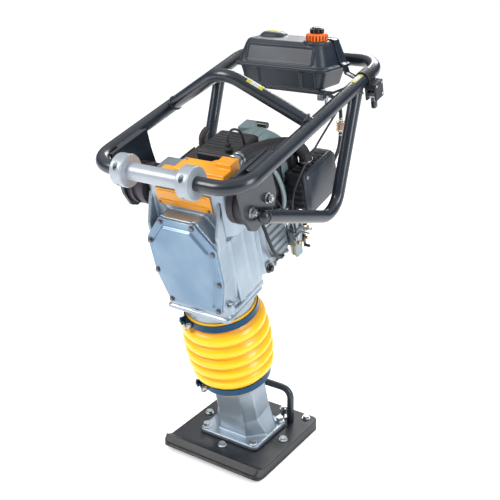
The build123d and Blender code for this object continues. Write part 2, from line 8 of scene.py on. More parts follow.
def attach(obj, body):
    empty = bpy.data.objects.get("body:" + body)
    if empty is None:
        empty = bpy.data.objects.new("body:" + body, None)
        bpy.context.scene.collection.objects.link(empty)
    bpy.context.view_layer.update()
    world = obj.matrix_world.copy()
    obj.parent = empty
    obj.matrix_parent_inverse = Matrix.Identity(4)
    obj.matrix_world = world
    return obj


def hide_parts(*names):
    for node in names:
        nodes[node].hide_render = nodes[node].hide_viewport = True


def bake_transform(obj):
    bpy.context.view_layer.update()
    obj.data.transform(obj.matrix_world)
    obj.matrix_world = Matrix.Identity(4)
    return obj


# A jumping jack rammer. The upper works is drawn upright, in millimetres, in the machine frame:
# x across, v back from the leg axis, w up the leg. UPRIGHT leans it forward onto the shoe.
# What stays level, the shoe and the fuel tank, is drawn in LEVEL, the row frame in millimetres.

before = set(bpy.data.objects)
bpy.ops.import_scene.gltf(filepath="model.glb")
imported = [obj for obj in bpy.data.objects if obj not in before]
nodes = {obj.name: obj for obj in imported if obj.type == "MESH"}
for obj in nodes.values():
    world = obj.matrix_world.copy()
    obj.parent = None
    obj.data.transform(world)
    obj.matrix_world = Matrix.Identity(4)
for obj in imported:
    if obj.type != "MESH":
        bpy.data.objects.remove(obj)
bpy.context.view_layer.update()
scene = bpy.context.scene

LEAN = radians(15)
LEG_Y = 0.035
MM = 0.001
LEVEL = Matrix.Scale(MM, 4)
UPRIGHT = Matrix.Translation((0, LEG_Y, 0)) @ Matrix.Rotation(LEAN, 4, "X") @ LEVEL
# An outline drawn across an axis is (x, v) for w, (x, w) for v and (v, w) for x.
TURNED = {"w": Matrix.Identity(4),
          "v": Matrix(((1, 0, 0, 0), (0, 0, 1, 0), (0, 1, 0, 0), (0, 0, 0, 1))),
          "x": Matrix(((0, 0, 1, 0), (1, 0, 0, 0), (0, 1, 0, 0), (0, 0, 0, 1)))}

COLLAR_R = 83.7
BELLOWS_LOW, BELLOWS_HIGH = 246.0, 413.0
CONVOLUTIONS = 5
SHAFT_W = 682.0
LOOP_X, LOOP_W = 194.5, 836.6
TUBE_R = 16.0                # the loop's tube
STAY_R = 15.0                # the stays' and the hoist bar's tube
PROUD = 0.15                 # how far a wrapped band stands off its tube
CLAMP_TURN = 243             # where round the leg, in degrees, the clamp screws sit


# ---- camera, light and floor ----
def set_camera():
    azimuth, elevation, roll = radians(34.34), radians(21.59), radians(-0.71)
    back = Vector((sin(azimuth) * cos(elevation), -cos(azimuth) * cos(elevation), sin(elevation)))
    right = Vector((cos(azimuth), sin(azimuth), 0))
    up = back.cross(right)
    level_right = right * cos(roll) + up * sin(roll)
    level_up = up * cos(roll) - right * sin(roll)
    data = bpy.data.cameras.new("camera")
    data.lens = 61.9
    data.sensor_width = 36
    camera = bpy.data.objects.new("camera", data)
    scene.collection.objects.link(camera)
    turn = Matrix((level_right, level_up, back)).transposed().to_4x4()
    camera.matrix_world = Matrix.Translation((1.1047, -1.5691, 1.2911)) @ turn
    scene.camera = camera


def add_light(name, place, aim, size, power, colour):
    data = bpy.data.lights.new(name, "AREA")
    data.shape = "RECTANGLE"
    data.size, data.size_y = size
    data.energy = power
    data.color = colour
    light = bpy.data.objects.new(name, data)
    scene.collection.objects.link(light)
    light.location = place
    light.rotation_euler = (Vector(aim) - Vector(place)).to_track_quat("-Z", "Y").to_euler()


def set_stage():
    world = bpy.data.worlds.new("studio")
    scene.world = world
    world.use_nodes = True
    tree = world.node_tree
    background = tree.nodes["Background"]
    ramp = tree.nodes.new("ShaderNodeValToRGB")
    split = tree.nodes.new("ShaderNodeSeparateXYZ")
    place = tree.nodes.new("ShaderNodeTexCoord")
    tree.links.new(place.outputs["Generated"], split.inputs[0])
    tree.links.new(split.outputs["Z"], ramp.inputs[0])
    tree.links.new(ramp.outputs[0], background.inputs["Color"])
    stops = ramp.color_ramp.elements
    stops[0].position, stops[0].color = 0.0, (0.05, 0.08, 0.13, 1)
    stops[1].position, stops[1].color = 0.72, (1.0, 1.0, 1.0, 1)
    middle = stops.new(0.32)
    middle.color = (0.20, 0.25, 0.34, 1)
    background.inputs["Strength"].default_value = 0.85
    backdrop = tree.nodes.new("ShaderNodeBackground")
    backdrop.inputs["Color"].default_value = (0.98, 0.98, 0.98, 1)
    seen = tree.nodes.new("ShaderNodeLightPath")
    choose = tree.nodes.new("ShaderNodeMixShader")
    tree.links.new(seen.outputs["Is Camera Ray"], choose.inputs[0])
    tree.links.new(background.outputs[0], choose.inputs[1])
    tree.links.new(backdrop.outputs[0], choose.inputs[2])
    tree.links.new(choose.outputs[0], tree.nodes["World Output"].inputs["Surface"])
    scene.view_settings.view_transform = "Standard"
    add_light("key", (-1.6, -2.2, 2.6), (0, 0, 0.5), (1.4, 1.4), 70, (1.0, 0.98, 0.95))
    add_light("side", (2.4, -0.3, 1.6), (0, 0.1, 0.5), (0.8, 1.8), 38, (0.93, 0.97, 1.0))
    add_light("rim", (-0.6, 2.4, 2.2), (0, 0.1, 0.7), (1.6, 0.8), 40, (1, 1, 1))

    sweep = bpy.data.meshes.new("floor")
    sweep.from_pydata([(-40, -40, 0), (40, -40, 0), (40, 40, 0), (-40, 40, 0)], [], [(0, 1, 2, 3)])
    floor = bpy.data.objects.new("floor", sweep)
    scene.collection.objects.link(floor)
    paint = bpy.data.materials.new("pale_floor")
    paint.use_nodes = True
    shader = paint.node_tree.nodes["Principled BSDF"]
    shader.inputs["Base Color"].default_value = (0.93, 0.93, 0.93, 1)
    shader.inputs["Roughness"].default_value = 0.9
    shader.inputs["Specular IOR Level"].default_value = 0.1
    shader.inputs["Emission Color"].default_value = (1, 1, 1, 1)
    shader.inputs["Emission Strength"].default_value = 0.42
    sweep.materials.append(paint)


# ---- effects that many finishes share ----
def node(tree, kind, settings=None, **inputs):
    """One shader node. An input that is a socket is linked, any other is its plain value."""
    made = tree.nodes.new(kind)
    for key, value in (settings or {}).items():
        setattr(made, key, value)
    for key, value in inputs.items():
        socket = made.inputs[int(key[1:])] if key[1:].isdigit() else made.inputs[key.replace("_", " ")]
        if isinstance(value, bpy.types.NodeSocket):
            tree.links.new(value, socket)
        else:
            socket.default_value = value
    return made


def new_group(name, inputs, outputs):
    tree = bpy.data.node_groups.new(name, "ShaderNodeTree")
    for label, kind, value in inputs:
        socket = tree.interface.new_socket(label, in_out="INPUT", socket_type=kind)
        socket.default_value = value
    for label, kind in outputs:
        tree.interface.new_socket(label, in_out="OUTPUT", socket_type=kind)
    return tree, tree.nodes.new("NodeGroupInput").outputs, tree.nodes.new("NodeGroupOutput").inputs


FLOAT, VECTOR = "NodeSocketFloat", "NodeSocketVector"


def make_worn_edges():
    """Rounds every edge to the eye and masks where paint or skin is rubbed thin along it."""
    tree, given, out = new_group("worn_edges", [("Round", FLOAT, 0.001), ("Spread", FLOAT, 0.5)],
                                 [("Mask", FLOAT), ("Normal", VECTOR)])
    bevel = node(tree, "ShaderNodeBevel", {"samples": 6}, Radius=given["Round"])
    facing = node(tree, "ShaderNodeNewGeometry")
    likeness = node(tree, "ShaderNodeVectorMath", {"operation": "DOT_PRODUCT"},
                    _0=bevel.outputs[0], _1=facing.outputs["True Normal"])
    edge = node(tree, "ShaderNodeMapRange", None, Value=likeness.outputs["Value"])
    edge.inputs["From Min"].default_value = 0.995
    edge.inputs["From Max"].default_value = 0.90
    place = node(tree, "ShaderNodeTexCoord")
    patchy = node(tree, "ShaderNodeTexNoise", None, Vector=place.outputs["Object"], Scale=90.0, Detail=5.0)
    cut = node(tree, "ShaderNodeMapRange", None, Value=patchy.outputs["Fac"])
    cut.inputs["From Min"].default_value = 0.62
    cut.inputs["From Max"].default_value = 0.38
    chosen = node(tree, "ShaderNodeMath", {"operation": "MULTIPLY"}, _0=edge.outputs[0], _1=cut.outputs[0])
    spread = node(tree, "ShaderNodeMath", {"operation": "MULTIPLY"}, _0=chosen.outputs[0], _1=given["Spread"])
    tree.links.new(spread.outputs[0], out["Mask"])
    tree.links.new(bevel.outputs[0], out["Normal"])
    return tree


def make_skin():
    """The fine relief and slow tone drift of a cast, moulded or painted surface."""
    tree, given, out = new_group("surface_skin", [("Grain Scale", FLOAT, 900), ("Drift Scale", FLOAT, 9)],
                                 [("Height", FLOAT), ("Drift", FLOAT)])
    place = node(tree, "ShaderNodeTexCoord").outputs["Object"]
    fine = node(tree, "ShaderNodeTexNoise", None, Vector=place, Scale=given["Grain Scale"], Detail=4.0, Roughness=0.6)
    pits = node(tree, "ShaderNodeTexVoronoi", None, Vector=place, Scale=given["Grain Scale"])
    both = node(tree, "ShaderNodeMath", {"operation": "MULTIPLY_ADD"},
                _0=pits.outputs["Distance"], _1=0.5, _2=fine.outputs["Fac"])
    drift = node(tree, "ShaderNodeTexNoise", None, Vector=place, Scale=given["Drift Scale"], Detail=3.0)
    tree.links.new(both.outputs[0], out["Height"])
    tree.links.new(drift.outputs["Fac"], out["Drift"])
    return tree


def make_dust():
    """Dry soil that settles on faces that look up."""
    tree, given, out = new_group("settled_dust", [("Amount", FLOAT, 0.3)], [("Mask", FLOAT)])
    facing = node(tree, "ShaderNodeNewGeometry")
    up = node(tree, "ShaderNodeSeparateXYZ", None, _0=facing.outputs["Normal"])
    place = node(tree, "ShaderNodeTexCoord").outputs["Object"]
    cloud = node(tree, "ShaderNodeTexNoise", None, Vector=place, Scale=26.0, Detail=8.0, Roughness=0.7)
    cut = node(tree, "ShaderNodeMapRange", None, Value=cloud.outputs["Fac"])
    cut.inputs["From Min"].default_value = 0.45
    cut.inputs["From Max"].default_value = 0.75
    lying = node(tree, "ShaderNodeMath", {"operation": "MULTIPLY", "use_clamp": True},
                 _0=up.outputs["Z"], _1=cut.outputs[0])
    mask = node(tree, "ShaderNodeMath", {"operation": "MULTIPLY"}, _0=lying.outputs[0], _1=given["Amount"])
    tree.links.new(mask.outputs[0], out["Mask"])
    return tree


WORN_EDGES = make_worn_edges()
SURFACE_SKIN = make_skin()
SETTLED_DUST = make_dust()
SOIL = (0.30, 0.26, 0.21, 1)


class Finish:
    """A material and the record's slot it belongs to."""
    def __init__(self, name, slot):
        self.slot = slot
        self.material = bpy.data.materials.new(name)
        self.material.use_nodes = True
        self.tree = self.material.node_tree
        self.shader = self.tree.nodes["Principled BSDF"]

    def add(self, kind, settings=None, **inputs):
        return node(self.tree, kind, settings, **inputs)

    def set(self, **values):
        for key, value in values.items():
            self.shader.inputs[key.replace("_", " ")].default_value = value

    def link(self, socket, name):
        self.tree.links.new(socket, self.shader.inputs[name])

    def blend(self, mask, low, high):
        """A colour between two, each a colour or a socket."""
        mix = self.add("ShaderNodeMix", {"data_type": "RGBA"}, Factor=mask)
        for socket, value in ((mix.inputs[6], low), (mix.inputs[7], high)):
            if isinstance(value, bpy.types.NodeSocket):
                self.tree.links.new(value, socket)
            else:
                socket.default_value = value
        return mix.outputs[2]


def surface(name, slot, colour, deep, worn, rough, metallic=0.0, grain=900.0, relief=0.1, wear=0.5,
            round_mm=0.8, dust=0.0, coat=0.0, worn_metal=None, drift=9.0):
    """A painted, cast or moulded surface: tone drift, grain, rounded and worn edges, and a little dust."""
    finish = Finish(name, slot)
    edges = finish.add("ShaderNodeGroup", {"node_tree": WORN_EDGES}, Round=round_mm * MM, Spread=wear)
    skin = finish.add("ShaderNodeGroup", {"node_tree": SURFACE_SKIN}, Grain_Scale=grain, Drift_Scale=drift)
    tone = finish.add("ShaderNodeMapRange", None, Value=skin.outputs["Drift"])
    tone.inputs["From Min"].default_value = 0.35
    tone.inputs["From Max"].default_value = 0.70
    body = finish.blend(tone.outputs[0], (*colour, 1), (*deep, 1))
    body = finish.blend(edges.outputs["Mask"], body, (*worn, 1))
    soften = finish.add("ShaderNodeMapRange", None, Value=skin.outputs["Drift"])
    soften.inputs["To Min"].default_value = rough - 0.07
    soften.inputs["To Max"].default_value = rough + 0.09
    finish.set(Metallic=metallic, Coat_Weight=coat, Coat_Roughness=0.12)
    if worn_metal is not None:
        metal = finish.add("ShaderNodeMapRange", None, Value=edges.outputs["Mask"])
        metal.inputs["To Min"].default_value = metallic
        metal.inputs["To Max"].default_value = worn_metal
        finish.link(metal.outputs[0], "Metallic")
    if dust:
        fall = finish.add("ShaderNodeGroup", {"node_tree": SETTLED_DUST}, Amount=dust)
        body = finish.blend(fall.outputs["Mask"], body, SOIL)
    finish.link(body, "Base Color")
    finish.link(soften.outputs[0], "Roughness")
    bump = finish.add("ShaderNodeBump", None, Height=skin.outputs["Height"], Strength=relief, Distance=0.0006,
                      Normal=edges.outputs["Normal"])
    finish.link(bump.outputs[0], "Normal")
    return finish


# ---- finishes ----
SILVER_CAST = surface("silver_cast", "silver_casting", (0.38, 0.44, 0.495), (0.28, 0.345, 0.41), (0.64, 0.67, 0.71),
                      0.34, metallic=0.72, grain=700, relief=0.25, wear=0.55, round_mm=2.2, dust=0.12)
# the crankcase cover's cast aluminium, whose blue-grey colour is a painted blue reflection
COVER_CAST_PAINTED_REFLECTION = surface("cover_cast_painted_reflection", "silver_casting", (0.22, 0.31, 0.41), (0.14, 0.225, 0.33), (0.60, 0.65, 0.71),
                     0.34, metallic=0.75, grain=650, relief=0.25, wear=0.9, round_mm=1.8, dust=0.04)
ENGINE_CAST = surface("engine_cast", "engine_silver", (0.30, 0.34, 0.37), (0.20, 0.24, 0.27), (0.62, 0.64, 0.66),
                      0.40, metallic=0.75, grain=520, relief=0.45, wear=0.6, round_mm=1.6, dust=0.15)
ROLLER_CAST = surface("roller_cast", "silver_casting", (0.44, 0.48, 0.52), (0.36, 0.40, 0.45), (0.62, 0.65, 0.68),
                      0.36, metallic=0.35, grain=800, relief=0.2, wear=0.5, round_mm=2.0, dust=0.05)
BLACK_COAT = surface("black_powder_coat", "steel_tube_black", (0.012, 0.018, 0.028), (0.007, 0.011, 0.018),
                     (0.09, 0.10, 0.12), 0.30, grain=1100, relief=0.10, wear=0.35, round_mm=1.0, coat=0.35,
                     dust=0.05, worn_metal=0.6)
SLATE_PLASTIC = surface("slate_plastic", "plastic_slate", (0.022, 0.031, 0.046), (0.013, 0.019, 0.029),
                        (0.09, 0.11, 0.14), 0.36, grain=1500, relief=0.22, wear=0.25, round_mm=1.6, dust=0.06)
BLACK_PLASTIC = surface("black_plastic", "engine_black", (0.010, 0.011, 0.015), (0.006, 0.007, 0.010),
                        (0.09, 0.09, 0.10), 0.45, grain=1300, relief=0.2, wear=0.3, round_mm=1.0, dust=0.08)
RUBBER = surface("black_rubber", "rubber_black", (0.020, 0.020, 0.024), (0.013, 0.013, 0.015), (0.07, 0.07, 0.075),
                 0.55, grain=900, relief=0.25, wear=0.25, round_mm=1.5, dust=0.1)
MOUNT_RUBBER = surface("mount_rubber", "rubber_black", (0.040, 0.034, 0.044), (0.024, 0.020, 0.028), (0.10, 0.09, 0.10),
                       0.50, grain=900, relief=0.25, wear=0.3, round_mm=2.0, dust=0.05)
ORANGE_COVER = surface("orange_cover", "cover_orange", (1.0, 0.42, 0.006), (0.92, 0.34, 0.004), (1.0, 0.60, 0.08),
                       0.33, grain=1200, relief=0.12, wear=0.35, round_mm=1.8, coat=0.25, dust=0.04)
CAP_ORANGE = surface("cap_orange", "cap_orange", (0.95, 0.17, 0.010), (0.82, 0.12, 0.006), (1.0, 0.38, 0.10),
                     0.35, grain=1300, relief=0.15, wear=0.3, round_mm=1.0)
KNOB_BLACK = surface("knob_black", "knob_black", (0.018, 0.018, 0.022), (0.012, 0.012, 0.014), (0.08, 0.08, 0.085),
                     0.28, grain=1500, relief=0.08, wear=0.25, round_mm=0.8, coat=0.3)
FAN_PAINT = surface("fan_paint", "fan_grey", (0.27, 0.36, 0.37), (0.20, 0.27, 0.28), (0.55, 0.60, 0.61),
                    0.36, grain=900, relief=0.12, wear=0.4, round_mm=1.4, metallic=0.25, coat=0.2, dust=0.1)
HEAT_BLACK = surface("heat_black", "muffler_steel", (0.045, 0.042, 0.040), (0.070, 0.048, 0.036), (0.22, 0.20, 0.18),
                     0.55, grain=600, relief=0.3, wear=0.5, round_mm=1.2, dust=0.1, worn_metal=0.7)
CARB_ALLOY = surface("carb_alloy", "carb_alloy", (0.34, 0.40, 0.42), (0.24, 0.29, 0.31), (0.66, 0.68, 0.70),
                     0.30, metallic=0.85, grain=800, relief=0.25, wear=0.6, round_mm=0.8)
BRASS = surface("brass_fittings", "brass_parts", (0.72, 0.53, 0.22), (0.58, 0.40, 0.15), (0.90, 0.75, 0.42),
                0.26, metallic=1.0, grain=1500, relief=0.08, wear=0.5, round_mm=0.5)
PAD_BLACK = surface("pad_black", "pad_black", (0.007, 0.008, 0.012), (0.004, 0.005, 0.008), (0.05, 0.05, 0.055),
                    0.40, grain=700, relief=0.3, wear=0.35, round_mm=2.0, dust=0.02)
SOLE_STEEL = surface("sole_steel", "sole_steel", (0.035, 0.036, 0.040), (0.018, 0.019, 0.022), (0.30, 0.29, 0.28),
                     0.42, metallic=0.8, grain=300, relief=0.5, wear=0.9, round_mm=1.2, dust=0.2)
BLUED_STEEL = surface("blued_steel", "clamp_blue", (0.022, 0.075, 0.15), (0.012, 0.045, 0.095), (0.22, 0.30, 0.38),
                      0.28, metallic=0.9, grain=900, relief=0.08, wear=0.6, round_mm=0.6)
YELLOW_BAND = surface("yellow_band", "cover_orange", (0.56, 0.50, 0.03), (0.48, 0.42, 0.02), (0.66, 0.60, 0.18),
                      0.40, grain=1500, relief=0.03, wear=0.2, round_mm=0.3)
WHITE_BAND = surface("white_band", "knob_black", (0.58, 0.59, 0.56), (0.48, 0.49, 0.47), (0.68, 0.68, 0.66),
                     0.40, grain=1500, relief=0.03, wear=0.2, round_mm=0.3)
PAPER = surface("filter_paper", "filter_clear", (0.62, 0.26, 0.07), (0.48, 0.18, 0.045), (0.78, 0.46, 0.20),
                0.70, grain=1500, relief=0.4, wear=0.4, round_mm=0.4)


def bright_metal(name, slot, colour, rough, scratch=0.12):
    """Machined or plated steel: fine turning marks that vary the gloss, tone that drifts darker at random, and brighter
    rubbed edges.
    """
    finish = Finish(name, slot)
    edges = finish.add("ShaderNodeGroup", {"node_tree": WORN_EDGES}, Round=0.5 * MM, Spread=0.6)
    skin = finish.add("ShaderNodeGroup", {"node_tree": SURFACE_SKIN}, Grain_Scale=1600.0, Drift_Scale=30.0)
    body = finish.blend(skin.outputs["Drift"], (*colour, 1), (*(0.72 * c for c in colour), 1))
    body = finish.blend(edges.outputs["Mask"], body, (*(min(1, 1.25 * c) for c in colour), 1))
    gloss = finish.add("ShaderNodeMapRange", None, Value=skin.outputs["Height"])
    gloss.inputs["To Min"].default_value = rough - scratch / 2
    gloss.inputs["To Max"].default_value = rough + scratch
    finish.set(Metallic=1.0)
    finish.link(body, "Base Color")
    finish.link(gloss.outputs[0], "Roughness")
    bump = finish.add("ShaderNodeBump", None, Height=skin.outputs["Height"], Strength=0.06, Distance=0.0004,
                      Normal=edges.outputs["Normal"])
    finish.link(bump.outputs[0], "Normal")
    return finish


ZINC = bright_metal("zinc_plate", "zinc_bolt", (0.50, 0.52, 0.54), 0.26)
MACHINED = bright_metal("machined_steel", "machined_steel", (0.56, 0.57, 0.58), 0.30)
SPRING_STEEL = bright_metal("spring_steel", "spring_steel", (0.20, 0.20, 0.22), 0.38)


def make_polyurethane():
    """Glossy yellow bellows skin with painted shade down in the folds, a darker orange there, and a rougher gloss, both
    following the crease attribute.
    """
    finish = Finish("yellow_polyurethane", "bellows_yellow")
    crease = finish.add("ShaderNodeAttribute", {"attribute_name": "crease"})
    skin = finish.add("ShaderNodeGroup", {"node_tree": SURFACE_SKIN}, Grain_Scale=500.0, Drift_Scale=14.0)
    body = finish.blend(skin.outputs["Drift"], (1.0, 0.62, 0.0, 1), (0.98, 0.54, 0.0, 1))
    painted_fold_shade = finish.add("ShaderNodeMapRange", None, Value=crease.outputs["Fac"])
    # painted shade: the folds and the inside of the skin are darkened towards deep orange
    body = finish.blend(painted_fold_shade.outputs[0], body, (0.84, 0.30, 0.0, 1))
    dust = finish.add("ShaderNodeGroup", {"node_tree": SETTLED_DUST}, Amount=0.05)
    finish.link(finish.blend(dust.outputs["Mask"], body, SOIL), "Base Color")
    gloss = finish.add("ShaderNodeMapRange", None, Value=crease.outputs["Fac"])
    gloss.inputs["To Min"].default_value = 0.26
    gloss.inputs["To Max"].default_value = 0.50
    finish.link(gloss.outputs[0], "Roughness")
    finish.set(Subsurface_Weight=0.05, Subsurface_Scale=0.01, Coat_Weight=0.25, Coat_Roughness=0.15)
    bump = finish.add("ShaderNodeBump", None, Height=skin.outputs["Height"], Strength=0.05, Distance=0.0006)
    finish.link(bump.outputs[0], "Normal")
    return finish


POLYURETHANE = make_polyurethane()


def make_clear_plastic():
    finish = Finish("clear_plastic", "filter_clear")
    skin = finish.add("ShaderNodeGroup", {"node_tree": SURFACE_SKIN}, Grain_Scale=700.0, Drift_Scale=40.0)
    tint = finish.blend(skin.outputs["Drift"], (0.96, 0.90, 0.78, 1), (0.88, 0.78, 0.60, 1))
    finish.link(tint, "Base Color")
    finish.set(Transmission_Weight=0.85, Roughness=0.12, IOR=1.46)
    bump = finish.add("ShaderNodeBump", None, Height=skin.outputs["Height"], Strength=0.05, Distance=0.0004)
    finish.link(bump.outputs[0], "Normal")
    return finish


CLEAR_PLASTIC = make_clear_plastic()


# ---- drawing tools, all in millimetres ----
class Drawing:
    """Closed solids gathered into one piece."""
    def __init__(self):
        self.mesh = bmesh.new()

    def take(self, part, place=None):
        if place is not None:
            part.transform(place)
        bmesh.ops.recalc_face_normals(part, faces=part.faces)
        held = bpy.data.meshes.new("held")
        part.to_mesh(held)
        part.free()
        self.mesh.from_mesh(held)
        bpy.data.meshes.remove(held)
        return self

    def turn(self, profile, centre, axis="w", steps=40, ring=False):
        """A shape turned about an axis through centre: profile is (radius, height along the axis)."""
        part = bmesh.new()
        rows = []
        for r, h in profile:
            count = 1 if r < 1e-6 else steps
            rows.append([part.verts.new((r * cos(2 * pi * i / steps), r * sin(2 * pi * i / steps), h))
                         for i in range(count)])
        pairs = list(zip(rows, rows[1:]))
        if ring:
            pairs.append((rows[-1], rows[0]))
        for low, high in pairs:
            for i in range(steps):
                j = (i + 1) % steps
                corners = [low[i % len(low)], low[j % len(low)], high[j % len(high)], high[i % len(high)]]
                corners = list(dict.fromkeys(corners))
                if len(corners) > 2:
                    part.faces.new(corners)
        return self.take(part, Matrix.Translation(centre) @ TURNED[axis])

    def disc(self, r, low, high, centre, axis="w", edge=0.8, steps=40):
        """A round disc or rod with broken edges; low and high are along the axis, from centre."""
        edge = min(edge, 0.45 * (high - low), 0.45 * r)
        profile = [(0, low), (r - edge, low), (r, low + edge), (r, high - edge), (r - edge, high), (0, high)]
        return self.turn(profile, centre, axis, steps)

    def block(self, x, v, w, edge=1.0, steps=2, place=None):
        part = bmesh.new()
        bmesh.ops.create_cube(part, size=1)
        spans = [(low, high) for low, high in (x, v, w)]
        for vert in part.verts:
            vert.co = Vector([low + (c + 0.5) * (high - low) for c, (low, high) in zip(vert.co, spans)])
        if edge:
            bmesh.ops.bevel(part, geom=part.edges[:], offset=edge, segments=steps, profile=0.5, affect="EDGES")
        return self.take(part, place)

    def prism(self, outline, low, high, centre=(0, 0, 0), axis="w", edge=0.8, place=None):
        """An outline drawn across the axis and extruded along it."""
        part = bmesh.new()
        face = part.faces.new([part.verts.new((a, b, low)) for a, b in outline])
        made = bmesh.ops.extrude_face_region(part, geom=[face])
        for item in made["geom"]:
            if isinstance(item, bmesh.types.BMVert):
                item.co.z = high
        bmesh.ops.recalc_face_normals(part, faces=part.faces)
        if edge:
            bmesh.ops.bevel(part, geom=part.edges[:], offset=edge, segments=2, profile=0.5, affect="EDGES")
        turn = Matrix.Translation(centre) @ TURNED[axis]
        return self.take(part, turn if place is None else place @ turn)

    def nut(self, size, low, high, centre, axis="w", washer=0.0):
        """A hexagon with rounded corners, and a washer under it if it has one."""
        hexagon = [(size * cos(pi * i / 3), size * sin(pi * i / 3)) for i in range(6)]
        self.prism(hexagon, low, high, centre, axis, edge=min(0.9, 0.2 * abs(high - low)))
        if washer:
            step = 1.6 if high > low else -1.6
            self.disc(washer, min(low, low - step), max(low, low - step), centre, axis, edge=0.4, steps=28)
        return self

    def tube(self, points, radius, sides=14, line=None, caps=True):
        """A round bar that follows a smooth line through a route; radius may be a function of 0 to 1."""
        spine = line or smooth_line(points)
        part = bmesh.new()
        rows = []
        side = None
        for i, spot in enumerate(spine):
            ahead = (spine[min(i + 1, len(spine) - 1)] - spine[max(i - 1, 0)]).normalized()
            if side is None:
                side = ahead.orthogonal().normalized()
            side = (side - ahead * side.dot(ahead)).normalized()
            other = ahead.cross(side)
            r = radius(i / (len(spine) - 1)) if callable(radius) else radius
            rows.append([part.verts.new(spot + (side * cos(2 * pi * k / sides) + other * sin(2 * pi * k / sides)) * r)
                         for k in range(sides)])
        for low, high in zip(rows, rows[1:]):
            for k in range(sides):
                part.faces.new((low[k], low[(k + 1) % sides], high[(k + 1) % sides], high[k]))
        if caps:
            part.faces.new(rows[0][::-1])
            part.faces.new(rows[-1])
        return self.take(part)

    def loft(self, sections, ring=False):
        """A skin through closed sections of equal count, capped at both ends or run round into a ring."""
        part = bmesh.new()
        rows = [[part.verts.new(p) for p in section] for section in sections]
        count = len(rows[0])
        for low, high in zip(rows, rows[1:] + rows[:1] if ring else rows[1:]):
            for k in range(count):
                part.faces.new((low[k], low[(k + 1) % count], high[(k + 1) % count], high[k]))
        if not ring:
            part.faces.new(rows[0][::-1])
            part.faces.new(rows[-1])
        return self.take(part)

    def with_node(self, name, place=UPRIGHT):
        """A copy of a CAD node's surface, brought into the drawing's own frame."""
        part = bmesh.new()
        part.from_mesh(nodes[name].data)
        bmesh.ops.remove_doubles(part, verts=part.verts, dist=1e-6)
        part.transform(place.inverted())
        held = bpy.data.meshes.new("held")
        part.to_mesh(held)
        part.free()
        self.mesh.from_mesh(held)
        bpy.data.meshes.remove(held)
        return self

    def piece(self, name, finish, body, place=UPRIGHT, angle=35, replaces=()):
        data = bpy.data.meshes.new(name)
        self.mesh.to_mesh(data)
        self.mesh.free()
        data.transform(place)
        return settle(name, data, finish, body, angle, replaces)

    def casting(self, name, finish, body, voxel, soften=4, keep=0.5, place=UPRIGHT, replaces=()):
        """The drawing melted into one skin with soft inside and outside corners, as a casting has."""
        data = bpy.data.meshes.new(name)
        self.mesh.to_mesh(data)
        self.mesh.free()
        data.transform(place)
        rough = bpy.data.objects.new(name, data)
        scene.collection.objects.link(rough)
        melt = rough.modifiers.new("melt", "REMESH")
        melt.mode = "VOXEL"
        melt.voxel_size = voxel * MM * 1.0
        smooth = rough.modifiers.new("soften", "SMOOTH")
        smooth.factor = 0.5
        smooth.iterations = soften
        if keep < 1:
            thin = rough.modifiers.new("thin", "DECIMATE")
            thin.ratio = keep
        bpy.context.view_layer.update()
        made = bpy.data.meshes.new_from_object(rough.evaluated_get(bpy.context.evaluated_depsgraph_get()))
        bpy.data.objects.remove(rough)
        made.name = name
        return settle(name, made, finish, body, 60, replaces)


def settle(name, data, finish, body, angle=35, replaces=()):
    """Put a finished mesh in the scene as a piece that rides on a body."""
    piece = bpy.data.objects.new(name, data)
    scene.collection.objects.link(piece)
    data.materials.clear()
    data.materials.append(finish.material)
    data.shade_smooth()
    data.set_sharp_from_angle(angle=radians(angle))
    if body:
        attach(piece, body)
    if replaces:
        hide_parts(*replaces)
    return piece


def smooth_line(points, steps=10):
    """Points along the smooth curve that a route's points control."""
    data = bpy.data.curves.new("line", "CURVE")
    data.dimensions = "3D"
    data.resolution_u = steps
    spline = data.splines.new("NURBS")
    spline.points.add(len(points) - 1)
    for spot, point in zip(spline.points, points):
        spot.co = (*point, 1)
    spline.order_u = 3
    spline.use_endpoint_u = True
    holder = bpy.data.objects.new("line", data)
    scene.collection.objects.link(holder)
    bpy.context.view_layer.update()
    made = bpy.data.meshes.new_from_object(holder.evaluated_get(bpy.context.evaluated_depsgraph_get()))
    line = [vert.co.copy() for vert in made.vertices]
    bpy.data.objects.remove(holder)
    bpy.data.meshes.remove(made)
    return line


def length_of(line):
    return sum((b - a).length for a, b in zip(line, line[1:]))


def spoke(radius, degrees, v_mid=0.0, w_mid=0.0):
    """A point round a centre, counted from the first axis."""
    turn = radians(degrees)
    return v_mid + radius * cos(turn), w_mid + radius * sin(turn)


def lobed(outer, depth, lobes, steps, power=1):
    """A scalloped outline about its own centre."""
    turns = (2 * pi * i / steps for i in range(steps))
    reach = [(outer - depth * (0.5 + 0.5 * cos(lobes * t)) ** power, t) for t in turns]
    return [(r * cos(t), r * sin(t)) for r, t in reach]


def boxed(sections, x_mid, y_mid, steps):
    """Rounded outlines one above the other: each section is (height, x half, y half, corner)."""
    return [[(a, b, level) for a, b in rounded(x_half, y_half, corner, x_mid, y_mid, steps=steps)]
            for level, x_half, y_half, corner in sections]


def rounded(x_half, y_half, corner, x_mid=0.0, y_mid=0.0, steps=6):
    """A rectangle with round corners, anticlockwise."""
    points = []
    for quarter, (sx, sy) in enumerate(((1, 1), (-1, 1), (-1, -1), (1, -1))):
        for i in range(steps + 1):
            turn = pi / 2 * (quarter + i / steps)
            points.append((x_mid + sx * (x_half - corner) + corner * cos(turn),
                           y_mid + sy * (y_half - corner) + corner * sin(turn)))
    return points


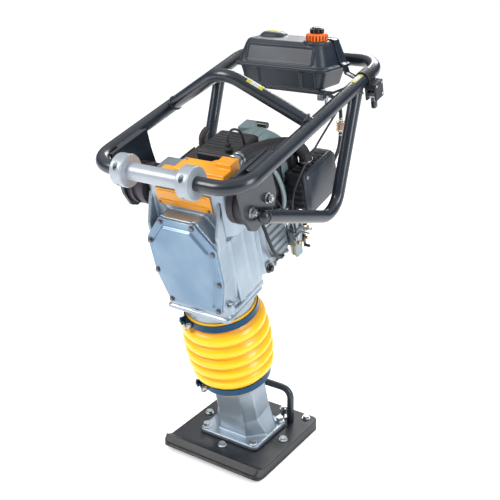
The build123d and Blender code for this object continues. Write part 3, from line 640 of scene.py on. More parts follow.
# ---- finishes for the CAD nodes that stay as they are ----
def dress_nodes():
    dressed = {
        "shoe_sole": SOLE_STEEL, "shoe_pad": PAD_BLACK, "shoe_fasteners": ZINC, "foot_casting": SILVER_CAST,
        "lifting_bar": BLACK_COAT, "spring_cylinder": MACHINED, "cylinder_cap": MACHINED, "ram_springs": SPRING_STEEL,
        "bellows": POLYURETHANE, "lower_clamp": BLUED_STEEL, "upper_clamp": BLUED_STEEL, "crankcase": SILVER_CAST,
        "crankcase_cover": SILVER_CAST, "case_screws": ZINC, "guide_tube": SILVER_CAST, "clutch_housing": SILVER_CAST,
        "rubber_mounts": MOUNT_RUBBER, "front_panel": ORANGE_COVER, "top_cover": ORANGE_COVER,
        "engine_block": ENGINE_CAST, "cylinder_barrel": ENGINE_CAST, "head_shroud": BLACK_PLASTIC,
        "spark_lead": RUBBER, "fan_housing": FAN_PAINT, "starter_cover": FAN_PAINT, "muffler": HEAT_BLACK,
        "carburetor": CARB_ALLOY, "air_cleaner_body": BLACK_PLASTIC, "air_cleaner_cover": SLATE_PLASTIC,
        "intake_hose": RUBBER, "frame_loop": BLACK_COAT, "side_stays": BLACK_COAT, "hoist_bar": BLACK_COAT,
        "mount_plates": BLACK_COAT, "mount_bolts": ZINC, "fuel_tank": SLATE_PLASTIC, "tank_cradle": BLACK_COAT,
        "fuel_tap": ZINC, "fuel_hose": RUBBER, "fuel_filter": CLEAR_PLASTIC, "throttle_housing": BLACK_PLASTIC,
        "throttle_cable": RUBBER, "crank_gear": MACHINED, "connecting_rod": MACHINED, "piston_rod": MACHINED,
        "pinion_drum": MACHINED, "engine_crankshaft": MACHINED, "clutch_shoes": MACHINED, "flywheel": ENGINE_CAST,
        "starter_reel": BLACK_PLASTIC, "starter_grip": KNOB_BLACK, "throttle_lever": ZINC,
        "carb_throttle_arm": ZINC, "choke_lever": KNOB_BLACK, "fuel_tap_lever": ZINC, "fuel_cap": CAP_ORANGE,
        "vent_knob": KNOB_BLACK, "transport_roller": ROLLER_CAST, "roller_screws": ZINC, "stop_switch": CAP_ORANGE,
    }
    for name, finish in dressed.items():
        data = nodes[name].data
        data.materials.clear()
        data.materials.append(finish.material)
        data.shade_smooth()
        data.set_sharp_from_angle(angle=radians(32))


# ---- bellows ----
def make_bellows():
    pitch = (BELLOWS_HIGH - BELLOWS_LOW) / CONVOLUTIONS
    cuff = COLLAR_R + 3.2
    skin = [(COLLAR_R + 0.4, BELLOWS_LOW - 30), (cuff, BELLOWS_LOW - 30), (cuff, BELLOWS_LOW - 3)]
    # crease holds how deep each ring sits in a fold, and 1 on the inside: the skin's painted shade and rougher gloss
    # follow it
    crease = [0.3, 0.3, 0.9]
    steps = 14
    for i in range(CONVOLUTIONS):
        belly = 4 * sin(pi * (i + 0.5) / CONVOLUTIONS)
        for k in range(steps):
            share = (k + 0.5) / steps
            root = 91.5 + 3 * sin(pi * (i + share) / CONVOLUTIONS)
            bulge = sin(pi * share) ** 0.62
            skin.append((root + (9.6 + belly) * bulge, BELLOWS_LOW + pitch * (i + share)))
            crease.append(max(0.0, 1 - 1.25 * bulge))
    skin += [(cuff, BELLOWS_HIGH + 3), (cuff, BELLOWS_HIGH + 30), (COLLAR_R + 0.4, BELLOWS_HIGH + 30)]
    crease += [0.9, 0.3, 0.3]
    inner = [(COLLAR_R + 0.4 if r < cuff + 1 else r - 3.4, w) for r, w in reversed(skin[1:-1])]
    turns = 96
    piece = Drawing().turn(skin + inner, (0, 0, 0), steps=turns, ring=True)
    bellows = piece.piece("bellows_skin", POLYURETHANE, None, angle=70, replaces=["bellows"])
    shade = bellows.data.attributes.new("crease", "FLOAT", "POINT")
    values = crease + [1.0] * len(inner)
    for i in range(len(bellows.data.vertices)):
        shade.data[i].value = values[i // turns]
    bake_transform(bellows)



# ---- castings: the CAD shapes with the soft corners, bosses and ribs of a real casting ----
COVER_BOLTS = [(66, 496), (-66, 496), (86, 575), (-86, 575), (86, 656), (-86, 656), (43, 714), (-43, 714)]
FRONT_V = -78.0


def make_crankcase():
    case = Drawing().with_node("crankcase")
    for x, w in COVER_BOLTS:
        case.disc(10.5, FRONT_V, FRONT_V + 26, (x * 0.985, 0, w), "v", edge=1.5, steps=20)
    for side in (-1, 1):
        for v in (-34, 14, 50):
            low, high = sorted((side * 90, side * 98.5))
            case.block((low, high), (v - 4, v + 4), (496, 664), edge=1.5)
        low, high = sorted((side * 88, side * 97))
        case.block((low, high), (-60, 56), (655, 668), edge=2)
        case.prism([(-42, 672), (-42, 760), (-74, 690), (-74, 655)], low, high, axis="x", edge=2)
        for v in (-62, 44):
            case.disc(9, 478, 503, (side * 84, v, 0), edge=1, steps=20)
    case.prism([(-52, 712), (52, 712), (70, 745), (-70, 745)], -44, -36, axis="v", edge=2)
    skirt = [(463, 89, -86, 60), (472, 89, -86, 60), (473, 84, -80, 58), (486, 82, -77, 58),
             (508, 78, -74, 57)]
    wall = 9
    walls = skirt + [(w, half - wall, front + wall, rear - wall) for w, half, front, rear in reversed(skirt)]
    case.loft([[(a, b, w) for a, b in rounded(half, (rear - front) / 2, 8, 0, (rear + front) / 2, steps=5)]
               for w, half, front, rear in walls], ring=True)
    case.casting("crankcase_casting", SILVER_CAST, "housing", 2.0, soften=7, keep=0.45,
                 replaces=["crankcase"])
    bolts = Drawing()
    for side in (-1, 1):
        for v in (-62, 44):
            bolts.nut(6.5, 504.5, 510, (side * 84, v, 0), washer=9)
    bolts.piece("flange_bolts", ZINC, "housing")


def make_case_cover():
    cover = Drawing().with_node("crankcase_cover")
    for x, w in COVER_BOLTS:
        cover.disc(9.6, FRONT_V - 8, FRONT_V, (x * 0.985, 0, w), "v", edge=1, steps=22)
    # the cover's blue-grey colour is a painted blue reflection
    cover.casting("case_cover_casting", COVER_CAST_PAINTED_REFLECTION, "housing", 1.5, soften=5, replaces=["crankcase_cover"])
    bolts = Drawing()
    for x, w in COVER_BOLTS:
        bolts.nut(5.6, FRONT_V - 9.6, FRONT_V - 13.4, (x, 0, w), "v", washer=7.2)
    for x in (-67, 67):
        bolts.disc(4.2, -48.2, -45.5, (x, 0, 737), "v", steps=20)
    bolts.piece("cover_bolts", SPRING_STEEL, "housing", replaces=["case_screws"])
    panel = Drawing().block((-74, 74), (-45.4, -42), (731, 772), edge=1.3)
    panel.block((-66, 66), (-47.0, -44), (741.5, 745), edge=0.9)
    panel.block((-66, 66), (-46.6, -44), (766, 768), edge=0.7)
    for x in (-67, 67):
        panel.disc(6, -46.6, -44, (x, 0, 737), "v", steps=24)
    panel.piece("front_panel_moulding", ORANGE_COVER, "housing", replaces=["front_panel"])
    top = Drawing().with_node("top_cover")
    for x, v in ((-40, 36), (82, -24), (-78, -24)):
        top.disc(8, 786, 796, (x, v, 0), edge=1.2, steps=24)
    top.block((-30, 60), (-30, -26), (792, 795.6), edge=1.0)
    top.block((-30, 44), (2, 5), (800, 803.5), edge=1.0)
    top.casting("top_cover_moulding", ORANGE_COVER, "housing", 1.4, soften=6, keep=0.6, replaces=["top_cover"])
    screws = Drawing()
    for x, v in ((-40, 36), (82, -24), (-78, -24)):
        low = 802 if v > 0 else 796
        screws.disc(4.4, low - 1, low + 2, (x, v, 0), steps=20)
    screws.piece("top_cover_screws", ZINC, "housing")


def make_lower_castings():
    foot = Drawing().with_node("foot_casting")
    foot.casting("foot_skin", SILVER_CAST, "foot", 1.9, soften=5, replaces=["foot_casting"])
    guide = Drawing().with_node("guide_tube")
    guide.casting("guide_skin", SILVER_CAST, "housing", 2.2, replaces=["guide_tube"])
    bell = Drawing().with_node("clutch_housing")
    for i in range(6):
        turn = pi * i / 3 + 0.3
        bell.disc(8, 70, 104, (66 * cos(turn), 0, SHAFT_W + 66 * sin(turn)), "v", edge=1.5, steps=20)
    bell.block((88, 96), (66, 74), (500, 636), edge=1.5)
    bell.block((-86, -78), (66, 74), (500, 636), edge=1.5)
    bell.disc(15, 84, 97, (0, 84, 508), "x", edge=1.5, steps=24)
    bell.casting("clutch_bell_casting", SILVER_CAST, "housing", 2.0, soften=5, replaces=["clutch_housing"])
    plug = Drawing().disc(12, 96.5, 101, (0, 84, 508), "x", edge=1.2).nut(8, 101, 108, (0, 84, 508), "x")
    plug.piece("drain_plug", KNOB_BLACK, "housing")
    shoe = Drawing().with_node("shoe_pad", LEVEL)
    shoe.casting("shoe_pad_moulding", PAD_BLACK, "foot", 1.9, place=LEVEL, replaces=["shoe_pad"])


def make_clamp_bolts():
    for name, w, body in (("lower", 229, "foot"), ("upper", 429, "housing")):
        spin = Matrix.Rotation(radians(CLAMP_TURN), 4, "Z")
        bolts = Drawing()
        for side in (-1, 1):
            bolts.nut(7.6, side * 15, side * 20.6, (97.5, 0, w), "v", washer=0)
            bolts.disc(9, *sorted((side * 15, side * 16.4)), (97.5, 0, w), "v", edge=0.4, steps=24)
        bolts.disc(3.4, -27, -20, (97.5, 0, w), "v", steps=18)
        bolts.mesh.transform(spin)
        bolts.piece(name + "_clamp_bolt", ZINC, body)
        worm = Drawing()
        for k in range(9):
            turn = radians(CLAMP_TURN - 34 + 4 * k)
            place = Matrix.Translation((0, 0, w)) @ Matrix.Rotation(turn, 4, "Z")
            worm.block((89.6, 90.9), (-1.3, 1.3), (-6, 6), edge=0.4, steps=1, place=place)
        worm.piece(name + "_clamp_ribs", BLUED_STEEL, body)


# ---- engine ----
def make_engine():
    block = Drawing().with_node("engine_block")
    for w in (500, 520, 540, 560, 580):
        block.block((86, 94), (108, 178), (w - 2.2, w + 2.2), edge=1)
        block.block((-88, -80), (106, 190), (w - 2.2, w + 2.2), edge=1)
    for v, w in ((112, 612), (194, 612), (112, 734), (194, 734)):
        block.disc(9, 66, 80, (0, v, w), "x", edge=1.2, steps=20)
        block.disc(9, -80, -66, (0, v, w), "x", edge=1.2, steps=20)
    block.disc(27, 68, 78, (0, 152, 662), "x", edge=2, steps=36)
    block.block((66, 76), (112, 192), (690, 728), edge=3)
    block.casting("engine_block_casting", ENGINE_CAST, "housing", 2.0, keep=0.45, replaces=["engine_block"])
    bolts = Drawing()
    for v, w in ((112, 612), (194, 612), (112, 734), (194, 734)):
        bolts.nut(6, 81, 86, (0, v, w), "x", washer=8)
        bolts.nut(6, -81, -86, (0, v, w), "x")
    for turn in range(0, 360, 60):
        v, w = 152 + 20 * cos(radians(turn)), 662 + 20 * sin(radians(turn))
        bolts.nut(4, 78.5, 82.5, (0, v, w), "x")
    for i in range(6):
        turn = pi * i / 3 + 0.3
        bolts.nut(5.2, 104.5, 109, (66 * cos(turn), 0, SHAFT_W + 66 * sin(turn)), "v")
    for v in (116, 146, 172):
        bolts.nut(5, 90.5, 96, (0, v, 494 + 0.02 * v), "x", washer=7)
    bolts.piece("engine_bolts", ZINC, "housing")
    shroud = Drawing().with_node("head_shroud")
    for i in range(7):
        v = 112 + 11 * i
        shroud.block((-40, 22), (v - 2.4, v + 2.4), (794, 799.5), edge=1.4)
    shroud.block((-50, 50), (84, 92), (792, 799.5), edge=2.5)
    shroud.casting("head_shroud_moulding", BLACK_PLASTIC, "housing", 1.5, keep=0.6, replaces=["head_shroud"])
    fins = Drawing()
    for level in range(4):
        w = 750.6 + 4.2 * level
        fins.prism([(a, b + 152) for a, b in rounded(55, 47, 15)], w, w + 1.5, edge=0.3)
    fins.disc(38, 748, 768, (0, 150, 0), steps=40)
    fins.piece("cylinder_fins", ENGINE_CAST, "housing", replaces=["cylinder_barrel"])


def make_engine_side():
    """The black cover beside the cylinder and the bracket that holds the air cleaner."""
    side = Drawing().block((72, 92), (110, 205), (650, 744), edge=5)
    for i in range(5):
        side.block((90, 94), (118 + 18 * i, 122 + 18 * i), (660, 736), edge=1.5)
    side.block((72, 88), (150, 206), (598, 655), edge=4)
    side.block((70, 102), (206, 240), (600, 668), edge=5)
    side.block((84, 103), (234, 262), (674, 730), edge=5)
    side.block((84, 104), (216, 232), (640, 690), edge=3)
    side.casting("engine_side_cover", BLACK_PLASTIC, "housing", 1.6, keep=0.6)
    bolts = Drawing()
    for v, w in ((124, 664), (190, 664), (124, 730), (190, 730)):
        bolts.nut(4.5, 92.5, 96.5, (0, v, w), "x", washer=6.5)
    bolts.nut(5, 102, 106, (0, 222, 612), "x", washer=7)
    bolts.piece("side_cover_bolts", ZINC, "housing")


def make_fan_and_starter():
    detail = Drawing()
    for i in range(28):
        turn = 2 * pi * i / 28
        place = Matrix.Translation((0, 232, SHAFT_W)) @ Matrix.Rotation(turn, 4, "Y")
        detail.block((87, 89.6), (-19, 19), (-2.2, 2.2), edge=0.8, steps=1, place=place)
    detail.turn([(60, 296), (60, 298.4), (63, 298.4), (63, 296)], (0, 0, SHAFT_W), "v", steps=56, ring=True)
    detail.turn([(20, 296), (20, 299), (23, 299), (23, 296)], (0, 0, SHAFT_W), "v", steps=40, ring=True)
    detail.piece("fan_ribs", FAN_PAINT, "housing")
    bolts = Drawing()
    for turn in (45, 135, 225, 315):
        bolts.nut(5, 270.5, 275, (78 * cos(radians(turn)), 0, SHAFT_W + 78 * sin(radians(turn))), "v", washer=7)
    bolts.nut(7, 296.5, 301, (0, 0, SHAFT_W), "v", washer=12)
    bolts.piece("starter_bolts", ZINC, "housing")
    guard = Drawing()
    for i in range(7):
        v = 114 + 13 * i
        guard.block((-156, -151.5), (v - 3, v + 3), (652, 728), edge=1.2)
    guard.block((-156, -151), (106, 200), (722, 730), edge=1.2)
    guard.block((-156, -151), (106, 200), (648, 656), edge=1.2)
    guard.tube([(-118, 190, 750), (-118, 190, 762), (-118, 202, 772), (-118, 216, 774)], 8, sides=20)
    guard.piece("muffler_guard", HEAT_BLACK, "housing")
    box = Drawing()
    box.block((-152, -150), (110, 118), (642, 650), edge=0.4)
    for v in (112, 194):
        box.nut(5, -156.5, -161, (0, v, 689), "x", washer=7)
    box.piece("muffler_bolts", ZINC, "housing")


def helix(start, end, radius, turns, steps=14):
    """Points of a coil spring's wire between two spots."""
    start, end = Vector(start), Vector(end)
    ahead = (end - start).normalized()
    side = ahead.orthogonal().normalized()
    other = ahead.cross(side)
    points = []
    for i in range(int(turns * steps) + 1):
        share = i / (turns * steps)
        turn = 2 * pi * i / steps
        points.append(start.lerp(end, share) + (side * cos(turn) + other * sin(turn)) * radius)
    return points


def make_carburettor():
    body = Drawing().with_node("carburetor")
    body.disc(12, 108, 112, (0, 206, 520), "x", edge=1, steps=24)
    body.block((74, 110), (196, 226), (536, 544), edge=1.5)
    body.disc(19, 498, 504, (92, 212, 0), edge=1.2, steps=32)
    body.disc(6, 461.5, 470, (92, 212, 0), edge=1, steps=20)
    body.block((100, 116), (226, 236), (522, 534), edge=1.2)
    body.casting("carburettor_casting", CARB_ALLOY, "housing", 1.2, soften=3, keep=0.6, replaces=["carburetor"])
    metal = Drawing()
    for v in (196, 228):
        metal.nut(4.4, 544.5, 549, (80, v, 0), washer=5.6)
        metal.nut(4.4, 544.5, 549, (104, v, 0), washer=5.6)
    metal.nut(6.5, 461, 456, (92, 212, 0), washer=0)
    metal.tube([], 0.8, sides=8, line=helix((112, 232, 528), (128, 240, 528), 3.6, 6))
    metal.disc(2.2, 110, 134, (0, 216, 530), "x", edge=0.4, steps=16)
    metal.block((74, 118), (186, 188.6), (574, 596), edge=0.8)
    metal.block((92, 94.4), (150, 232), (604, 622), edge=0.8)
    metal.prism([(104, 596), (150, 610), (150, 640), (128, 660), (104, 640)], 86, 88.2, axis="x", edge=0.5)
    metal.piece("carburettor_screws", ZINC, "housing")
    rods = Drawing()
    governor = [(90, 140, 632), (98, 150, 632), (100, 186, 610), (100, 196, 560), (108, 196, 546)]
    rods.tube(governor, 1.3, sides=8)
    rods.tube([(94, 226, 612), (106, 232, 606), (112, 236, 580), (112, 240, 544)], 1.2, sides=8)
    rods.tube([], 0.7, sides=6, line=helix((90, 118, 642), (94, 176, 614), 3.4, 16))
    rods.piece("governor_rods", ZINC, "housing")
    brass = Drawing()
    brass.disc(5.5, 242, 262, (100, 0, 515), "v", edge=1, steps=24)
    brass.nut(7.5, 246, 254, (100, 0, 515), "v")
    brass.disc(4, 112, 121, (0, 226, 508), "x", edge=0.8, steps=20)
    brass.nut(5.5, 108, 114, (0, 200, 508), "x")
    brass.piece("carburettor_fittings", BRASS, "housing")
    hoses = Drawing()
    vent = [(97, 84, 640), (103, 84, 622), (106, 92, 570), (104, 108, 530), (98, 132, 504), (95, 150, 500)]
    wire = [(90, 150, 664), (112, 150, 650), (118, 148, 600), (118, 152, 556), (114, 176, 530), (110, 200, 512)]
    hoses.tube(vent, 4, sides=14)
    hoses.tube(wire, 1.8, sides=10)
    hoses.piece("vent_hoses", RUBBER, "housing")
    pipe = Drawing()
    breather = [(76, 168, 736), (92, 168, 728), (100, 174, 700), (102, 182, 660), (99, 182, 626), (88, 180, 606)]
    pipe.tube(breather, 5.5, sides=18)
    pipe.disc(8, 84, 92, (0, 180, 605), "x", edge=1, steps=24)
    pipe.piece("breather_pipe", FAN_PAINT, "housing")
    filler = Drawing().disc(15, -98, -84, (0, 176, 520), "x", edge=2, steps=36)
    for turn in range(0, 180, 60):
        place = Matrix.Translation((-101, 176, 520)) @ Matrix.Rotation(radians(turn), 4, "X")
        filler.block((-4, 4), (-12, 12), (-2.6, 2.6), edge=1, place=place)
    filler.piece("oil_filler_cap", KNOB_BLACK, "housing")


def make_air_cleaner():
    body = Drawing().with_node("air_cleaner_body")
    for i in range(7):
        v = 222 + 16 * i
        body.block((104, 140), (v - 2, v + 2), (695, 699.5), edge=1.2)
    for w in (612, 628, 644, 660, 676):
        body.block((104, 140), (198.5, 206), (w - 2.5, w + 2.5), edge=1.5)
        body.block((104, 140), (340, 346), (w - 2.5, w + 2.5), edge=1.5)
    body.casting("air_cleaner_shell", BLACK_PLASTIC, "housing", 1.6, soften=3, replaces=["air_cleaner_body"])
    outline = [(201, 598), (218, 588), (322, 588), (347, 612), (345, 684), (330, 700), (201, 700)]
    cover = Drawing().prism(outline, 142.2, 150, axis="x", edge=3)
    raised = [(270 + 0.86 * (v - 270), 645 + 0.84 * (w - 645)) for v, w in outline]
    cover.prism(raised, 148, 152, axis="x", edge=1.6)
    cover.piece("air_cleaner_lid", SLATE_PLASTIC, "housing", replaces=["air_cleaner_cover"])
    knobs = Drawing()
    for v, w in ((212, 690), (334, 606)):
        knobs.nut(5, 150.5, 153.5, (0, v, w), "x", washer=0)
    knobs.piece("air_cleaner_screws", ZINC, "housing")


# ---- hoses and cables ----
HOSE = [(70, 74, 797), (70, 102, 797), (76, 150, 787), (83, 206, 770), (102, 250, 752), (121, 262, 726),
        (121, 262, 696)]
SPARK_LEAD = [(32, 100, 818), (32, 102, 832), (34, 116, 844), (40, 130, 840), (46, 140, 824), (46, 140, 798)]
CABLE = [(172, 418, 808), (172, 396, 808), (164, 362, 793), (157, 328, 772), (152, 288, 752), (150, 246, 734),
         (147, 206, 715), (139, 178, 684), (130, 170, 650), (120, 178, 600), (117, 184, 572), (117, 184, 547)]
TANK_LINE = [(74, 276, 862), (74, 296, 862), (88, 311, 850), (100, 311, 826), (100, 311, 801)]


def row_mm(x, v, w):
    """A machine-frame point in the row frame, in millimetres."""
    return tuple(UPRIGHT @ Vector((x, v, w)) / MM)


CARB_LINE = [(100, 311, 767), (100, 311, 742), (99, 297, 714), (98, 268, 688), (97, 236, 664),
             (96, 198, 638), row_mm(93, 296, 530), row_mm(90, 270, 515), row_mm(90, 242, 515)]


def hold_line(name, points, radius, place, body, replaces=(), across=None):
    """A rubber hose or cable on its own smooth line; across, (body, body, start, end), only decides that the line rides
    no body: its contents are not used.
    """
    line = smooth_line(points, 14)
    drawing = Drawing().tube(points, radius, sides=20, line=line)
    piece = drawing.piece(name, RUBBER, None if across else body, place, angle=70, replaces=replaces)
    if across:
        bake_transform(piece)


def make_lines():
    ring_gap, groove, rib = 6.5, 13.6, 1.4
    rings = round(length_of(smooth_line(HOSE, 14)) / ring_gap)
    dense = smooth_line(HOSE, 48)
    drawing = Drawing()
    drawing.tube(HOSE, lambda t: groove + rib * (0.5 + 0.5 * cos(2 * pi * rings * t)) ** 0.5, sides=28, line=dense)
    hose = drawing.piece("intake_bellows_hose", RUBBER, "housing", angle=80, replaces=["intake_hose"])
    fitting = Drawing().disc(18, 60.1, 66, (70, 0, 797), "v", edge=1.2)
    fitting.disc(14.5, 65, 75, (70, 0, 797), "v", edge=1)
    fitting.turn([(15.2, 76), (16.4, 77), (16.4, 83), (15.2, 84)], (70, 0, 797), "v", steps=40, ring=True)
    fitting.turn([(15.2, 699), (16.4, 700), (16.4, 706), (15.2, 707)], (121, 262, 0), steps=40, ring=True)
    fitting.piece("hose_fitting", ZINC, "housing")
    plug = Drawing().disc(8, 798, 810, (32, 100, 0), edge=1.5).disc(6.2, 809, 820, (32, 100, 0), edge=1.5)
    plug.turn([(9, 802), (9.4, 803), (9.4, 806), (9, 807), (7, 807), (7, 802)], (32, 100, 0), ring=True)
    plug.piece("spark_plug_cap", RUBBER, "housing")
    hold_line("ignition_lead", SPARK_LEAD, 3, UPRIGHT, "housing", replaces=["spark_lead"])
    handle_end, engine_end = (UPRIGHT @ Vector(spot) for spot in ((164, 362, 793), (130, 170, 650)))
    hold_line("throttle_cable_casing", CABLE, 2.5, UPRIGHT, None, replaces=["throttle_cable"],
              across=("handle", "housing", tuple(handle_end), tuple(engine_end)))
    hold_line("fuel_line_to_filter", TANK_LINE, 4.5, LEVEL, "handle", replaces=["fuel_hose"])
    hold_line("fuel_line_to_carburettor", CARB_LINE, 4.5, LEVEL, None,
              across=("handle", "housing", (0.099, 0.290, 0.705), (0.093, 0.195, 0.60)))
    bowl = [(3, 767.2), (5.4, 768), (5.4, 771), (11, 772), (11, 796), (5.4, 797), (5.4, 800), (3, 800.8),
            (3, 797.5), (9.8, 795), (9.8, 773), (3, 770.5)]
    shell = Drawing().turn(bowl, (100, 311, 0), steps=40, ring=True)
    shell.piece("filter_shell", CLEAR_PLASTIC, "handle", LEVEL, replaces=["fuel_filter"])
    star = [spoke(8.6 if i % 2 else 6.6, 10 * i) for i in range(36)]
    element = Drawing().prism(star, 775, 793, (100, 311, 0), edge=0)
    element.piece("filter_element", PAPER, "handle", LEVEL, angle=80)
    clips = Drawing()
    for z in (762, 803.5):
        clips.turn([(4.7, -2), (5.6, -1.5), (5.6, 1.5), (4.7, 2)], (100, 311, z), steps=28, ring=True)
    clips.piece("hose_clips", ZINC, "handle", LEVEL)


# ---- fuel tank, cap and straps ----
TANK_Y = 242.0
CAP_AT = (82, 216)
HUMP_AT = (-62, 256)


def make_tank():
    levels = [(893, 101, 48, 12), (893.8, 105, 52, 15), (896.5, 108.5, 55.5, 18), (902, 110, 57, 19),
              (934, 119, 63.5, 23), (937.5, 120.5, 65, 24), (938.6, 130, 71.2, 26), (940, 131.6, 72.6, 27),
              (944.5, 131.6, 72.6, 27),
              (946, 130, 71.2, 26), (947, 124.5, 67.8, 25), (950, 123, 66.4, 24), (985, 111.5, 56.2, 21),
              (994, 108, 53, 20), (999.5, 104.5, 49.5, 19), (1001.5, 100.5, 45.5, 16), (1002, 96, 41, 13)]
    tank = Drawing().loft(boxed(levels, 0, TANK_Y, 7))

    def on_front(x, z):
        """A spot on the sloping front wall."""
        return Vector((x, TANK_Y - 67.2 + 0.281 * (z - 947), z))
    corners = ((-92, 955), (-92, 988), (-86, 992), (86, 992), (92, 988), (92, 955), (86, 951), (-86, 951))
    frame_line = [on_front(x, z) for x, z in corners + corners[:1]]
    tank.tube([], 2.0, sides=10, line=frame_line, caps=True)
    for x in (-100, -60, 60, 100):
        tank.tube([], 2.2, sides=8, line=[Vector((x, TANK_Y - 66.0, 934)), Vector((x, TANK_Y - 58.5, 900))])
    hump = [(1000, 36, 27), (1003, 34.5, 25.5), (1008, 31, 22.5), (1011.5, 26, 18), (1013, 20, 13)]
    tank.loft(boxed([(z, x_half, y_half, 0.8 * y_half) for z, x_half, y_half in hump], *HUMP_AT, 7))
    tank.disc(31, 996, 1004.5, (*CAP_AT, 0), edge=2, steps=48)
    tank.casting("tank_moulding", SLATE_PLASTIC, "handle", 1.5, keep=0.55, place=LEVEL, replaces=["fuel_tank"])
    lens = ((1011, 18.5, 10.5), (1013.2, 18, 10), (1014.2, 16, 8.4))
    window = Drawing().loft(boxed([(z, x_half, y_half, 0.95 * y_half) for z, x_half, y_half in lens], *HUMP_AT, 7))
    window.piece("tank_window", YELLOW_BAND, "handle", LEVEL)
    straps = Drawing()
    course = [(58, 1003.4), (98, 1003.4), (108, 1000), (124, 955), (127, 948), (135, 944), (135, 938),
              (140, 926), (166, 916)]
    outer = [(x, z + 2.4) for x, z in course]
    inner = [(x - 1.2, z) for x, z in reversed(course)]
    straps.prism(outer + inner, 250, 276, axis="v", edge=0.5)
    straps.piece("tank_strap", BLACK_COAT, "handle", LEVEL)
    screw = Drawing().nut(6, 1006, 1010, (66, 263, 0), washer=0)
    screw.disc(8.5, 1005.2, 1006.6, (66, 263, 0), edge=0.4)
    screw.piece("strap_screw", ZINC, "handle", LEVEL)

    cap = Drawing().prism(lobed(25.8, 1.3, 20, 160), 1004.6, 1018.5, (*CAP_AT, 0), edge=0.9)
    cap.turn([(0, 1017), (24.6, 1017), (24.6, 1019.6), (22.8, 1021.6), (18, 1022), (0, 1022)], (*CAP_AT, 0), steps=64)
    cap.disc(20.5, 1003, 1008, (*CAP_AT, 0), edge=0.6)
    cap.piece("fuel_cap_moulding", CAP_ORANGE, "cap", LEVEL, replaces=["fuel_cap"])
    knob = Drawing().prism(lobed(16.6, 1.9, 8, 112, power=2), 1022.3, 1031.8, (*CAP_AT, 0), edge=1.4)
    knob.turn([(0, 1031), (13.5, 1031), (13.3, 1033.4), (10.5, 1035.4), (6, 1036), (0, 1036)], (*CAP_AT, 0), steps=48)
    knob.piece("vent_knob_moulding", KNOB_BLACK, "vent", LEVEL, replaces=["vent_knob"])


# ---- guide frame ----
def ring_on(drawing, spot, ahead, radius, bead, seed=0.0):
    """A rippled weld bead round a tube."""
    spot, ahead = Vector(spot), Vector(ahead).normalized()
    side = ahead.orthogonal().normalized()
    other = ahead.cross(side)
    count = 54
    turns = [2 * pi * i / count for i in range(count + 1)]
    line = [spot + (side * cos(turn) + other * sin(turn)) * radius for turn in turns]
    drawing.tube([], lambda t: bead * (1 + 0.16 * sin(2 * pi * 17 * t + seed)), sides=8, line=line)


def make_frame_details():
    welds = Drawing()
    for side in (-1, 1):
        stay_low, stay_bend, stay_top = (Vector((side * x, v, w)) for x, v, w in
                                         ((183.7, -15, 731), (LOOP_X, 238, 577), (LOOP_X, 406, LOOP_W)))
        up = (stay_top - stay_bend).normalized()
        ring_on(welds, stay_top - up * 17.5, up, 15.2, 2.6, side)
        along = (stay_bend - stay_low).normalized()
        welds.tube([], lambda t: 15.3 * max(0.03, 1 - (1 - t) ** 2.4) ** 0.5, sides=32,
                   line=[stay_low + along * (3 - 17 * (1 - i / 9)) for i in range(10)])
        ring_on(welds, stay_low + along * 4, along, 15.1, 2.4, 1 + side)
        hoist = Vector((side * LOOP_X, 197, LOOP_W)) - Vector((0, 167, 958))
        ring_on(welds, Vector((side * LOOP_X, 197, LOOP_W)) - hoist.normalized() * 19, hoist, 15.2, 2.6, 2 + side)
        for v in (-24, 58):
            low, high = sorted((side * 165, side * 180))
            welds.block((low, high), (v - 3, v + 3), (LOOP_W - 9, LOOP_W + 9), edge=2.4)
    welds.piece("weld_beads", BLACK_COAT, "handle", angle=60)
    studs = Drawing()
    for side in (-1, 1):
        for v in (-31, 30):
            low, high = sorted((side * 176, side * 181))
            studs.disc(5.4, low, high, (0, v, 746), "x", edge=0.8, steps=24)
    studs.piece("mount_bolt_ends", ZINC, "handle")


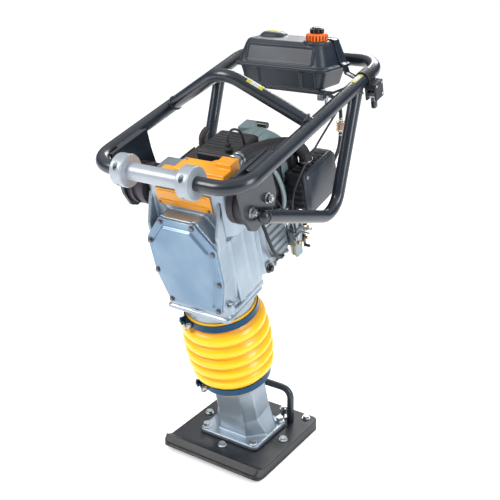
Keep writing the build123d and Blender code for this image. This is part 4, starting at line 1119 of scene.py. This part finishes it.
def band(name, finish, start, ahead, length, radius, low, high, body="handle"):
    """A thin wrap on a tube: part of a cylinder just proud of it."""
    start, ahead = Vector(start), Vector(ahead).normalized()
    side = Vector((0, 0, 1)) - ahead * ahead.z
    side.normalize()
    other = ahead.cross(side)
    rows = []
    steps = 18
    part = bmesh.new()
    for share in (0, 0.5, 1):
        row = []
        for r in (radius, radius + 0.35):
            for i in range(steps + 1):
                turn = radians(low + (high - low) * i / steps)
                spot = start + ahead * (length * share) + (side * cos(turn) + other * sin(turn)) * r
                row.append(part.verts.new(spot))
        rows.append(row[:steps + 1] + row[:steps:-1])
    count = len(rows[0])
    for low_row, high_row in zip(rows, rows[1:]):
        for k in range(count):
            part.faces.new((low_row[k], low_row[(k + 1) % count], high_row[(k + 1) % count], high_row[k]))
    part.faces.new(rows[0])
    part.faces.new(rows[-1])
    drawing = Drawing()
    drawing.take(part)
    drawing.piece(name, finish, body, angle=50)


def make_bands():
    leg = Vector((194.5, 30, -121.4)).normalized()
    crown = Vector((0, 167, 958))
    for name, finish, at, length in (("hoist_band_upper", YELLOW_BAND, 60, 10),
                                     ("hoist_band_middle", WHITE_BAND, 70, 20),
                                     ("hoist_band_lower", YELLOW_BAND, 90, 10)):
        band(name, finish, crown + leg * at, leg, length, STAY_R + PROUD, -38, 30)
    for name, finish, at, length in (("loop_band_front", YELLOW_BAND, 384, 10),
                                     ("loop_band_middle", WHITE_BAND, 394, 22),
                                     ("loop_band_rear", YELLOW_BAND, 416, 10)):
        band(name, finish, (LOOP_X, at, LOOP_W), (0, 1, 0), length, TUBE_R + PROUD, -34, 26)


def make_throttle():
    case = Drawing().with_node("throttle_housing")
    case.disc(5, 426, 430, (LOOP_X + 20, 0, 822), "v", edge=0.8, steps=20)
    case.casting("throttle_case", BLACK_PLASTIC, "handle", 1.4, soften=3, keep=0.6, replaces=["throttle_housing"])
    screws = Drawing()
    for v, w in ((432, 824), (458, 824), (458, 796)):
        screws.disc(3.4, LOOP_X + 35.2, LOOP_X + 37.2, (0, v, w), "x", steps=20)
    screws.piece("throttle_screws", ZINC, "handle")
    grip = Drawing().block((LOOP_X + 15, LOOP_X + 27), (432.5, 447.5), (764.5, 784), edge=3.5, steps=3)
    grip.piece("throttle_lever_grip", KNOB_BLACK, "throttle")


set_camera()
set_stage()
dress_nodes()
make_bellows()
make_crankcase()
make_case_cover()
make_lower_castings()
make_clamp_bolts()
make_engine()
make_engine_side()
make_fan_and_starter()
make_carburettor()
make_air_cleaner()
make_lines()
make_tank()
make_frame_details()
make_bands()
make_throttle()
